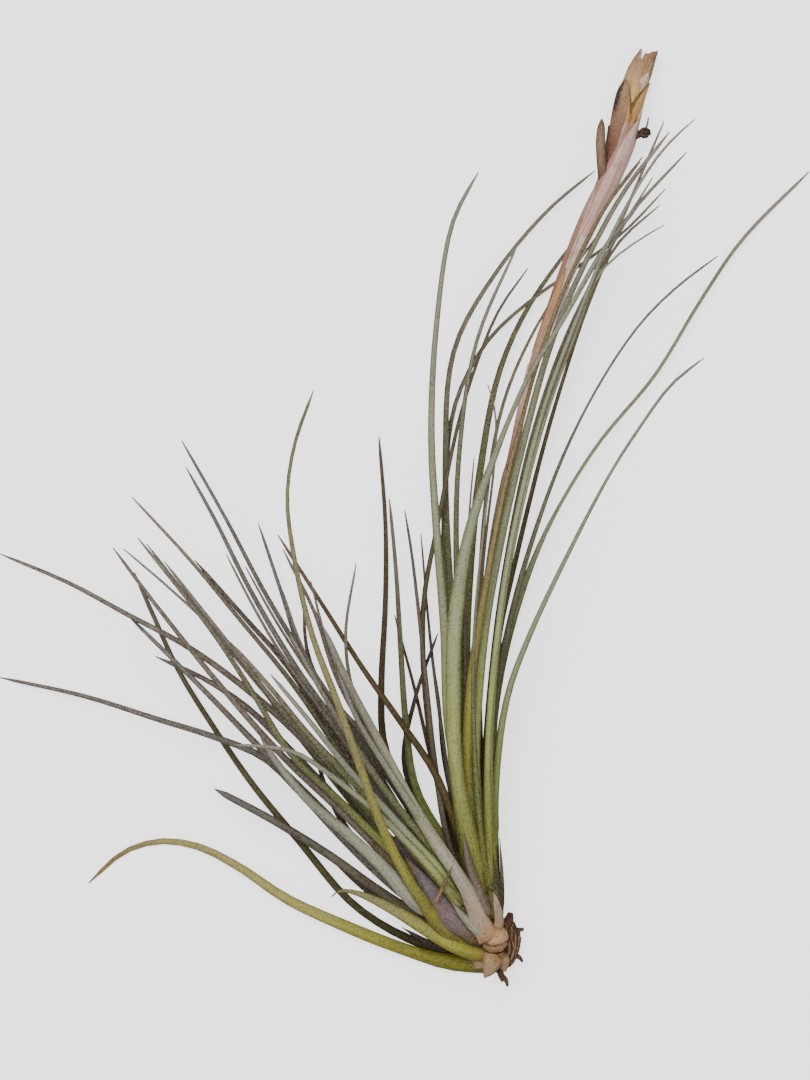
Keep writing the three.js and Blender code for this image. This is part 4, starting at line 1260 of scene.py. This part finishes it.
def wrapped(line: SmoothLine, bracts: Sequence[Bract], rows: int) -> Skin:
    """Wraps bracts round the stem or the head.

    Args:
        line: the stem's whole line.
        bracts: the bracts, from the lowest.
        rows: how many faces each has along.

    Returns:
        The mesh of them all.
    """
    skin = Skin()
    for bract in bracts:
        skin.sheet(BRACT_COLUMNS, rows, partial(bract.bead, line), bract.THICKNESS)
    return skin


PINK: Shade = (226, 176, 166)
PALE_PINK: Shade = (236, 198, 188)
SILVER_PINK: Shade = (230, 206, 194)
DUSKY_PINK: Shade = (180, 136, 118)
CREAM: Shade = (226, 196, 172)
RUST: Shade = (150, 98, 74)
DEEP_RUST: Shade = (112, 68, 42)
STRAW: Shade = (232, 186, 122)
PALE_STRAW: Shade = (240, 220, 192)
OCHRE: Shade = (206, 154, 90)
OLIVE_BROWN: Shade = (118, 82, 38)
GREY_BROWN: Shade = (116, 98, 80)
BLACKISH: Shade = (44, 34, 30)
MAUVE_BROWN: Shade = (142, 108, 92)
RED_BROWN: Shade = (122, 82, 64)
PALE_BROWN: Shade = (168, 132, 106)


@dataclass(frozen=True)
class FlowerStem:
    """The pink flower stem, with its sheathing bracts."""

    SIDES = 20
    STEPS = 90
    DUSKY = (0.35, 0.5)     # the stretch of the whole line in which grey turns to dusky pink
    ROSY = (0.5, 0.7)       # the stretch in which that turns to pink
    LEFT_BROWNING = 0.6
    LEFT_BROWNING_STRETCH = (0.1, 0.9)      # the stretch in which that sets in, from the stem's top to its left side
    BRACT_ROWS = 26
    BRACTS = (
        Bract(0.16, 44, 40, 0, 150, 0.3, GREY_BROWN, GREY_BROWN, MAUVE_BROWN),
        Bract(0.27, 46, -40, 0, 150, 0.3, GREY_BROWN, MAUVE_BROWN, MAUVE_BROWN),
        Bract(0.40, 46, 0, -75, 150, 0.3, RUST, PINK, OCHRE, Side.LEFT, 0.5),
        Bract(0.475, 55, 10, 60, 150, 0.3, DUSKY_PINK, SILVER_PINK, PINK),
        Bract(0.56, 38, -8, -12, 44, 0.2, DUSKY_PINK, OCHRE, OCHRE),
        Bract(0.59, 60, -85, 35, 66, 0.3, RUST, DUSKY_PINK, CREAM),
        Bract(0.655, 50, 70, -20, 90, 0.3, SILVER_PINK, PALE_PINK, SILVER_PINK),
        Bract(0.751, 42, 45, 0, 98, 0.9, PINK, PALE_PINK, DUSKY_PINK),
        Bract(0.80, 29, 30, -23, 49, 0.6, PINK, DUSKY_PINK, CREAM, Side.LEFT),
    )

    def tint(self, share: float) -> Callable[[float], Vector]:
        """Gives the stem's colour, which is browner down its left side.

        Args:
            share: the place on the stem's whole line.

        Returns:
            The linear colour by the turn from straight up, in radians.
        """
        middle = linear(GREY_BROWN).lerp(linear(DUSKY_PINK), smooth(share, *self.DUSKY))
        middle = middle.lerp(linear(PINK), smooth(share, *self.ROSY))
        return lambda turn: middle.lerp(linear(RUST), self.LEFT_BROWNING * smooth(-math.sin(turn), *self.LEFT_BROWNING_STRETCH))

    def build(self) -> None:
        """Builds the stem and its bracts."""
        line = SmoothLine([Vector(point) for point in STEM_LINE])
        stem = Skin()
        shares = [STEM_END * step / self.STEPS for step in range(self.STEPS + 1)]
        stem.tube([core_ring(line, share, core_radius(share), self.SIDES, self.tint(share))
                   for share in shares])
        stem.piece("flower_stem_core", PINK_STEM, "stem_pink", ["flower_stem"])
        sheaths = wrapped(line, self.BRACTS, self.BRACT_ROWS)
        sheaths.piece("flower_stem_bracts", PINK_STEM, "stem_pink", ["flower_stem"])


@dataclass(frozen=True)
class FlowerHead:
    """The spent head: dry bracts over a core, two of them its beaks, and the fibres between those."""

    seed: int

    SIDES = 16
    STEPS = 12
    CLOSING = (7, 12)               # the steps over which its core narrows to its end
    CLOSED = 0.8                    # how much of its radius it has lost there
    FIBRES = 60
    FIBRE_FEET = (0.95, 0.98)       # on the stem's whole line
    FIBRE_HEIGHTS = (1, 2.8)        # of their feet over that line
    FIBRE_SIDES = (-0.8, 1)         # where they stand, from the left to the right
    FIBRE_ROW = 2.2                 # half of the width that they stand over
    FIBRE_LENGTHS = (4, 7.5)
    FIBRE_FLARES = (0.2, 1.2)       # of their ends, to their own side
    FIBRE_RISES = (-1, 0.6)         # of their ends
    FIBRE_ARCH = 0.4                # of their middles
    FIBRE_RADII = ((0, 0.32), (1, 0.08))
    FIBRE_SHADES = (OCHRE, STRAW, PALE_STRAW)
    BRACT_ROWS = 24
    BRACTS = (
        Bract(0.83, 23.5, 31, 0, 40, 0.4, RUST, OCHRE, OLIVE_BROWN),
        Bract(0.83, 26.5, 75, 0, 50, 0.6, PALE_PINK, SILVER_PINK, PALE_STRAW),
        Bract(0.835, 32, -60, 18, 44, 1.3, RED_BROWN, PALE_BROWN, BLACKISH, Side.LEFT, 0.75, 7.0, 1.5),
        Bract(0.84, 15, -76, 0, 20, 1.1, DEEP_RUST, DEEP_RUST, DEEP_RUST),
        Bract(0.88, 20.5, -30, -5, 60, 0.4, OCHRE, STRAW, OLIVE_BROWN, Side.RIGHT, 0.5),
        Bract(0.885, 21, 78, 0, 92, 0.95, OCHRE, STRAW, OLIVE_BROWN, Side.LEFT, 0.3),
        Bract(0.91, 24, -45, -5, 85, 1.0, STRAW, PALE_BROWN, GREY_BROWN, Side.LEFT, 0.6),
        Bract(0.915, 16, 40, 0, 52, 0.9, STRAW, PALE_STRAW, PALE_STRAW),
        Bract(0.925, 21.5, 58, 0, 85, 1.5, OCHRE, PALE_BROWN, GREY_BROWN, Side.RIGHT, 0.6, 7.0),
    )

    def fibres(self, line: SmoothLine, dice: random.Random) -> list[list[Ring]]:
        """Gives the rings of the straw fibres at the end of the head.

        Args:
            line: the stem's whole line.
            dice: where the draws come from.

        Returns:
            The rings of every fibre.
        """
        made = []
        ahead = line.along(self.FIBRE_FEET[1])
        across = ahead.cross(UP).normalized()
        for _ in range(self.FIBRES):
            side = across * dice.uniform(*self.FIBRE_SIDES)
            start = line.at(dice.uniform(*self.FIBRE_FEET)) + side * self.FIBRE_ROW
            start += UP * dice.uniform(*self.FIBRE_HEIGHTS)
            end = start + ahead * dice.uniform(*self.FIBRE_LENGTHS) + side * dice.uniform(*self.FIBRE_FLARES)
            end += UP * dice.uniform(*self.FIBRE_RISES)
            middle = start.lerp(end, 0.5) + UP * self.FIBRE_ARCH
            shade = dice.choice(self.FIBRE_SHADES)
            made.append(rod_rings((start, middle, end), self.FIBRE_RADII, shade, sides=6, steps=5))
        return made

    def build(self) -> None:
        """Builds the core, the bracts and the fibres."""
        line = SmoothLine([Vector(point) for point in STEM_LINE])
        dice = random.Random(self.seed)
        core = Skin()
        rings = []
        for step in range(self.STEPS + 1):
            share = STEM_END + (1 - STEM_END) * step / self.STEPS
            radius = core_radius(share) * (1 - self.CLOSED * smooth(step, *self.CLOSING))
            rings.append(core_ring(line, share, radius, self.SIDES, lambda turn: linear(OCHRE)))
        core.tube(rings)
        for fibre in self.fibres(line, dice):
            core.tube(fibre)
        core.piece("flower_head_core", DRY_BRACT, "dry_tan", ["flower_head"])
        bracts = wrapped(line, self.BRACTS, self.BRACT_ROWS)
        bracts.piece("flower_head_bracts", DRY_BRACT, "dry_tan", ["flower_head"])


@dataclass(frozen=True)
class DriedFlower:
    """The shrivelled flower at the side of the head, with its twig."""

    centre: Spot = (51.3, 270.3, 8.4)
    size: Spot = (2.0, 1.75, 1.6)       # half of its width, length and height

    FINENESS = 4
    DARKEST = (34, 28, 26)
    PALEST = (96, 74, 62)
    WRINKLES = ((0.28, 2.6), (0.1, 7))
    PATCHES = 3             # how often its shade changes
    STALK = (((47, 268.2, 7.8), (48.6, 269, 8.2), (50.4, 269.9, 8.4)), ((0, 0.9), (1, 0.8)), (70, 52, 44))
    TWIG = (((51.2, 270.8, 8.6), (52.2, 273, 9), (52.6, 275.6, 9.2)), ((0, 0.45), (1, 0.2)), (140, 104, 98))

    def bead(self, spot: Vector) -> Bead:
        """Moves a point of a ball to the shrivelled lump.

        Args:
            spot: the point, on a ball whose radius is 1.

        Returns:
            The bead.
        """
        place = ball_point(self.centre, self.size, spot, 1 + ripple(spot, self.WRINKLES))
        shade = mottled(self.DARKEST, self.PALEST, noise.noise(spot * self.PATCHES), 0.05, 0.6)
        return Bead(place, shade, place)

    def build(self) -> None:
        """Builds the lump, its stalk and its twig."""
        skin = Skin()
        skin.lump(self.FINENESS, self.bead)
        for points, radii, shade in (self.STALK, self.TWIG):
            skin.tube(rod_rings(points, radii, shade))
        skin.piece("dried_flower", DEAD_WOOD, "dead_wood", ["dried_flower"])


@dataclass(frozen=True)
class Knuckle:
    """The tan knuckle that both rosettes grow from, with the crease under it, darkened with painted shadow.
    """

    centre: Spot = (1.4, 2.6, 10.2)
    size: Spot = (4.6, 4.9, 4.2)        # half of its width, length and height
    crease: float = -0.52   # where it runs, from -1 at the lower end to 1 at the upper

    FINENESS = 6
    CREASE_BOW = 0.35       # how far it runs up at the sides
    CREASE_WIDTH = 0.09
    CREASE_DEPTH = 0.09
    UPPER = (204, 166, 122)
    LOWER = (172, 130, 92)
    # painted shadow in the crease
    CREASE_PAINTED_SHADOW = (58, 34, 22)
    CREASE_SHADOW_AMOUNT = 0.85     # how much of that painted shadow the crease's bottom has
    WRINKLES = ((0.05, 2.2), (0.02, 9))

    def bead(self, spot: Vector) -> Bead:
        """Moves a point of a ball to the knuckle.

        Args:
            spot: the point, on a ball whose radius is 1.

        Returns:
            The bead.
        """
        bend = spot.y - self.crease - self.CREASE_BOW * spot.x ** 2
        groove = math.exp(-(bend / self.CREASE_WIDTH) ** 2)
        rough = 1 - self.CREASE_DEPTH * groove + ripple(spot, self.WRINKLES)
        shade = mottled(self.UPPER, self.LOWER, -spot.y, -0.1, 0.8)
        shade = shade.lerp(linear(self.CREASE_PAINTED_SHADOW), groove * self.CREASE_SHADOW_AMOUNT)
        place = ball_point(self.centre, self.size, spot, rough)
        return Bead(place, shade, place)

    def build(self) -> None:
        """Builds the knuckle."""
        skin = Skin()
        skin.lump(self.FINENESS, self.bead)
        skin.piece("stem_base", KNUCKLE_BARK, "knuckle_tan", ["stem_base"])


@dataclass(frozen=True)
class DeadStub:
    """The dead woody stub: a rough lump, strips of bark over it, and what is left of its roots."""

    seed: int
    centre: Spot = (2.8, 0.8, 3.4)
    size: Spot = (7, 9.6, 4.8)          # half of its width, length and height
    strips: int = 15

    FINENESS = 5
    SLIMNESS = 0.93         # of the lump, over its size
    LUMPINESS = 0.1
    WAVES = (Vector((7, 4, 0)), Vector((0, 6, -3)))     # along which its lumps follow each other
    WRINKLES = ((0.05, 8),)
    PATCHES = 4             # how often its shade changes
    ROOT_TAPER = ((0, 1), (0.6, 0.75), (1, 0.45))
    ROOTS = (               # the radius of each at its foot, and its line
        (2.0, ((5.5, 6.5, 4.5), (6.4, 9, 4.8), (6.8, 11, 5))),
        (1.1, ((7.5, 4.5, 4), (9.6, 5.2, 4.2), (11.2, 5.4, 3.6))),
        (1.0, ((8, -3, 4), (9.8, -4, 3.4), (10.8, -5.4, 2.6))),
        (1.4, ((3.2, -7, 3.4), (3.6, -9.6, 3), (4.3, -12, 2.4))),
        (1.0, ((3.8, -10, 3), (5.2, -11.4, 2.4), (5.9, -13.6, 1.6))),
    )
    # dark wood, and painted shade for the deep gaps between the bark strips
    DARK_WOOD_GAP_SHADE = (40, 22, 15)
    # pale patches of wood, partly painted highlights
    PALE_WOOD_HIGHLIGHT = (140, 104, 76)
    ROOT = (100, 70, 54)
    BARK = (56, 32, 22)
    # the strips' pale margins are partly painted highlights
    BARK_MARGIN = (214, 168, 128)

    TURNS = (0.1, 1.75)     # of the strips of bark from straight up to the right, in radians
    WIDTHS = (0.16, 0.3)    # half of a strip's, in radians
    FEET = (-0.85, 0.1)     # from -1 at the stub's lower end to 1 at its upper one
    LENGTHS = (0.7, 1.2)
    LAST = 0.78             # how far up strips reach at most
    LIFTS = (0.1, 0.8)      # how far their ends stand off, in millimetres
    PALENESS = (0.1, 1)     # of their margins
    NARROWING = 0.4         # of their ends
    RAGGED = 0.1
    SWAY = 0.2
    LEAST_GIRTH = 0.15
    THICKNESS = 0.3         # millimetres
    BARK_BED = 0.97         # of the lump's size, which the bark lies on
    END_TILT = 0.3          # how much their ends turn up the stub, over how far they stand off
    GRAIN = (2, 9)          # millimetres of half a strip's width and of its length, in the grain
    SEEDS = (0, 90)
    COLUMNS = 6
    ROWS = 12

    def bead(self, spot: Vector) -> Bead:
        """Moves a point of a ball to the rough lump.

        Args:
            spot: the point, on a ball whose radius is 1.

        Returns:
            The bead, whose grain runs the length of the stub.
        """
        first, second = self.WAVES
        lumps = self.LUMPINESS * math.sin(spot.dot(first)) * math.cos(spot.dot(second))
        rough = self.SLIMNESS + lumps + ripple(spot, self.WRINKLES)
        place = ball_point(self.centre, self.size, spot, rough)
        # mottled between dark wood with painted gap shade and pale wood with painted highlights
        shade = mottled(self.DARK_WOOD_GAP_SHADE, self.PALE_WOOD_HIGHLIGHT, noise.noise(spot * self.PATCHES), 0.1, 0.5)
        return Bead(place, shade, place.xzy)

    def strip(self, dice: random.Random) -> Callable[[float, float], Bead]:
        """Draws one strip of bark that lies along the lump.

        Args:
            dice: where the draws come from.

        Returns:
            A function that gives the bead at a place across and along the strip.
        """
        turn = dice.uniform(*self.TURNS)
        width = dice.uniform(*self.WIDTHS)
        first = dice.uniform(*self.FEET)
        last = min(first + dice.uniform(*self.LENGTHS), self.LAST)
        lift = dice.uniform(*self.LIFTS)
        pale = dice.uniform(*self.PALENESS)
        seed = dice.uniform(*self.SEEDS)
        size = tuple(half * self.BARK_BED + self.THICKNESS for half in self.size)

        def bead(across: float, along: float) -> Bead:
            """Gives the bead at a place on the strip.

            Args:
                across: from -1 at one margin to 1 at the other.
                along: from 0 at the foot to 1 at the end.

            Returns:
                The bead.
            """
            y = first + (last - first) * along
            y += self.RAGGED * noise.noise(Vector((across, along * 2, seed)))
            around = turn + across * width * (1 - self.NARROWING * along)
            around += self.SWAY * noise.noise(Vector((along * 2, 0, seed)))
            girth = math.sqrt(max(1 - y * y, self.LEAST_GIRTH))
            out = Vector((math.sin(around) * girth, y, math.cos(around) * girth))
            place = ball_point(self.centre, size, out, 1)
            place += Vector((math.sin(around), self.END_TILT, math.cos(around))) * lift * along ** 2
            shade = linear(self.BARK).lerp(linear(self.BARK_MARGIN), pale * smooth(abs(across), 0.1, 0.9))
            return Bead(place, shade, Vector((across * self.GRAIN[0], 0, along * self.GRAIN[1] + seed)))

        return bead

    def build(self) -> None:
        """Builds the lump, the roots and the strips of bark."""
        dice = random.Random(self.seed)
        lump = Skin()
        lump.lump(self.FINENESS, self.bead)
        for thick, points in self.ROOTS:
            radii = [(share, thick * part) for share, part in self.ROOT_TAPER]
            lump.tube(rod_rings(points, radii, self.ROOT))
        lump.piece("woody_stub", DEAD_WOOD, "dead_wood", ["woody_stub"])
        bark = Skin()
        for _ in range(self.strips):
            bark.sheet(self.COLUMNS, self.ROWS, self.strip(dice), self.THICKNESS)
        bark.piece("stub_bark", DEAD_WOOD, "dead_wood", ["woody_stub"])


# ------------------------------------------------------------------ the studio


@dataclass(frozen=True)
class Studio:
    """A pale floor, soft light, and a camera that looks straight down."""

    middle: Spot = (-28.3, 135, 0)      # of the view, on the floor
    field: float = 360                  # millimetres that the view's long side covers on the floor
    height: float = 3000                # of the camera
    film: float = 36                    # millimetres
    glow: float = 1.5                   # how strongly the floor is lit from behind
    sky: float = 0.42

    FLOOR_HALF = 1.5        # half of the floor's side, in metres
    FLOOR_DROP = 0.05       # millimetres from the plant down to the floor
    FARTHEST = 20           # metres that the camera sees
    PAPER = (0.9, 0.9, 0.9, 1)
    DIM_PAPER = (0.45, 0.45, 0.45, 1)   # which is what the plant gets its light back from
    WHITE = (1, 1, 1, 1)
    MATT = 0.9
    LIGHTS = (              # name, place in metres, size in metres, power in watts
        ("key", (-0.6, 0.8, 1.6), 1.6, 31),
        ("fill", (0.9, -0.2, 1.3), 1.2, 5),
    )

    def floor(self) -> None:
        """Lays the floor."""
        shape = bmesh.new()
        bmesh.ops.create_grid(shape, x_segments=1, y_segments=1, size=self.FLOOR_HALF)
        for vert in shape.verts:
            vert.co.z = -self.FLOOR_DROP * MM
        mesh = bpy.data.meshes.new("floor")
        shape.to_mesh(mesh)
        shape.free()
        mesh.materials.append(self.paper())
        put("floor", mesh)

    def paper(self) -> bpy.types.Material:
        """Makes the floor's white paper, lit from behind, which throws little light back on the plant.

        Returns:
            Its material.
        """
        made = bpy.data.materials.new("white paper")
        made.use_nodes = True
        made.node_tree.nodes.clear()
        graph = Graph(made.node_tree)
        seen = graph.add("ShaderNodeBsdfPrincipled", {
            "Base Color": self.PAPER, "Roughness": self.MATT, "Emission Color": self.WHITE,
            "Emission Strength": self.glow})
        unseen = graph.add("ShaderNodeBsdfPrincipled", {"Base Color": self.DIM_PAPER, "Roughness": self.MATT})
        straight = graph.add("ShaderNodeLightPath").outputs["Is Camera Ray"]
        paper = graph.add("ShaderNodeMixShader", {0: straight, 1: unseen.outputs[0], 2: seen.outputs[0]})
        graph.add("ShaderNodeOutputMaterial", {"Surface": paper.outputs[0]})
        return made

    def light(self, name: str, place: Spot, size: float, power: float) -> None:
        """Hangs a soft square light over the plant, turned to the middle of the view.

        Args:
            name: the light's name.
            place: where it hangs, in metres.
            size: its side, in metres.
            power: in watts.
        """
        lamp = bpy.data.lights.new(name, "AREA")
        lamp.size = size
        lamp.energy = power
        hung = put(name, lamp)
        hung.location = Vector(place)
        target = Vector(self.middle) * MM
        hung.rotation_euler = (target - hung.location).to_track_quat("-Z", "Y").to_euler()

    def camera(self) -> None:
        """Places the camera straight over the middle of the view, with the plant's +Y at the top."""
        lens = bpy.data.cameras.new("camera")
        lens.sensor_fit = "VERTICAL"
        lens.sensor_height = self.film
        lens.lens = self.film * self.height / self.field
        lens.clip_end = self.FARTHEST
        eye = put("camera", lens)
        eye.location = (Vector(self.middle) + UP * self.height) * MM
        bpy.context.scene.camera = eye

    def build(self) -> None:
        """Sets up the floor, the lights, the sky and the camera."""
        self.floor()
        for lamp in self.LIGHTS:
            self.light(*lamp)
        sky = bpy.data.worlds.new("sky")
        sky.use_nodes = True
        background = sky.node_tree.nodes["Background"]
        background.inputs["Color"].default_value = self.WHITE
        background.inputs["Strength"].default_value = self.sky
        bpy.context.scene.world = sky
        self.camera()


# ------------------------------------------------------------------ assembly

# The parent's core is painted a dark olive, as painted shade, so that the gaps between its leaves' feet read
# dark.
PARENT_CORE = Core((1.2, 6.5, 9), (-5, 50, 13), 5.2, (62, 54, 28))
OFFSET_CORE = Core((-2.4, 2.2, 9), (-32, 36, 19), 6, (88, 74, 74))
UNDER_BASE = (-2.4, 2.2, -40)       # the leaves that lie round the base have their backs up


def numbered(name: str, leaves: Sequence[Leaf], axis: Spot, finish: Finish, slot: str,
             seed: int) -> list[LooseLeaf]:
    """Gives the loose leaves of one kind, with their numbers in their names and their seeds."""
    return [LooseLeaf(f"{name}_{number}", leaf, axis, finish, slot, seed + number)
            for number, leaf in enumerate(leaves, 1)]


def loose_leaves() -> list[LooseLeaf]:
    """Lists the leaves and scales that are pieces of their own.

    Returns:
        All of them, in the order that they are made in.
    """
    parent, offset = PARENT_CORE.start, OFFSET_CORE.start
    *upright_scales, green_scale = UPRIGHT_SCALES
    made = numbered("parent_dry_leaf", PARENT_DRY_LEAVES, parent, DRY_LEAF, "leaf_brown", 40)
    made += numbered("offset_dry_leaf", OFFSET_DRY_LEAVES, UNDER_BASE, DRY_LEAF, "leaf_dark", 50)
    for seed, (name, leaf) in enumerate(OLD_LEAVES.items(), 61):
        finish, slot = (DRY_LEAF, "leaf_dark") if leaf.tone is Tone.MOSS else (OLD_LEAF, "leaf_old")
        made.append(LooseLeaf(name, leaf, UNDER_BASE, finish, slot, seed))
    made += numbered("upright_scale", upright_scales, parent, DRY_BRACT, "dry_tan", 70)
    made.append(LooseLeaf("upright_scale_3", green_scale, parent, DRY_BRACT, "leaf_dark", 73))
    made += numbered("base_scale", BASE_SCALES, Knuckle.centre, DRY_BRACT, "dry_tan", 80)
    made += [
        LooseLeaf("leafy_bract", LEAFY_BRACT, STEM_LINE[-3], DRY_BRACT, "dry_brown", 90),
        LooseLeaf("dry_strip", DRY_STRIP, offset, DRY_BRACT, "dry_tan", 91),
        LooseLeaf("silver_scale", SILVER_SCALE, offset, SILVER_LEAF, "leaf_grey", 92, "offset_rosette"),
        LooseLeaf("heather_sheath", HEATHER_SHEATH, offset, SHEATH_SKIN, "leaf_grey", 93,
                  "offset_rosette"),
    ]
    return made


def main() -> None:
    """Builds the plant from its rosettes out, then the studio round it."""
    logging.basicConfig(level=logging.INFO, format="%(name)s: %(message)s")
    Rosette("parent", "leaf_green", PARENT_CORE, PARENT_LEAVES, core_finish=GREEN_LEAF,
            finish=GREEN_LEAF, bunches=5, seed=11).build()
    Rosette("offset", "leaf_grey", OFFSET_CORE, OFFSET_LEAVES, core_finish=SHEATH_SKIN,
            finish=SILVER_LEAF, bunches=6, seed=12).build()
    for leaf in loose_leaves():
        leaf.build()
    FlowerStem().build()
    FlowerHead(seed=13).build()
    DriedFlower().build()
    Knuckle().build()
    DeadStub(seed=14).build()
    Studio().build()


if __name__ == "__main__":
    main()
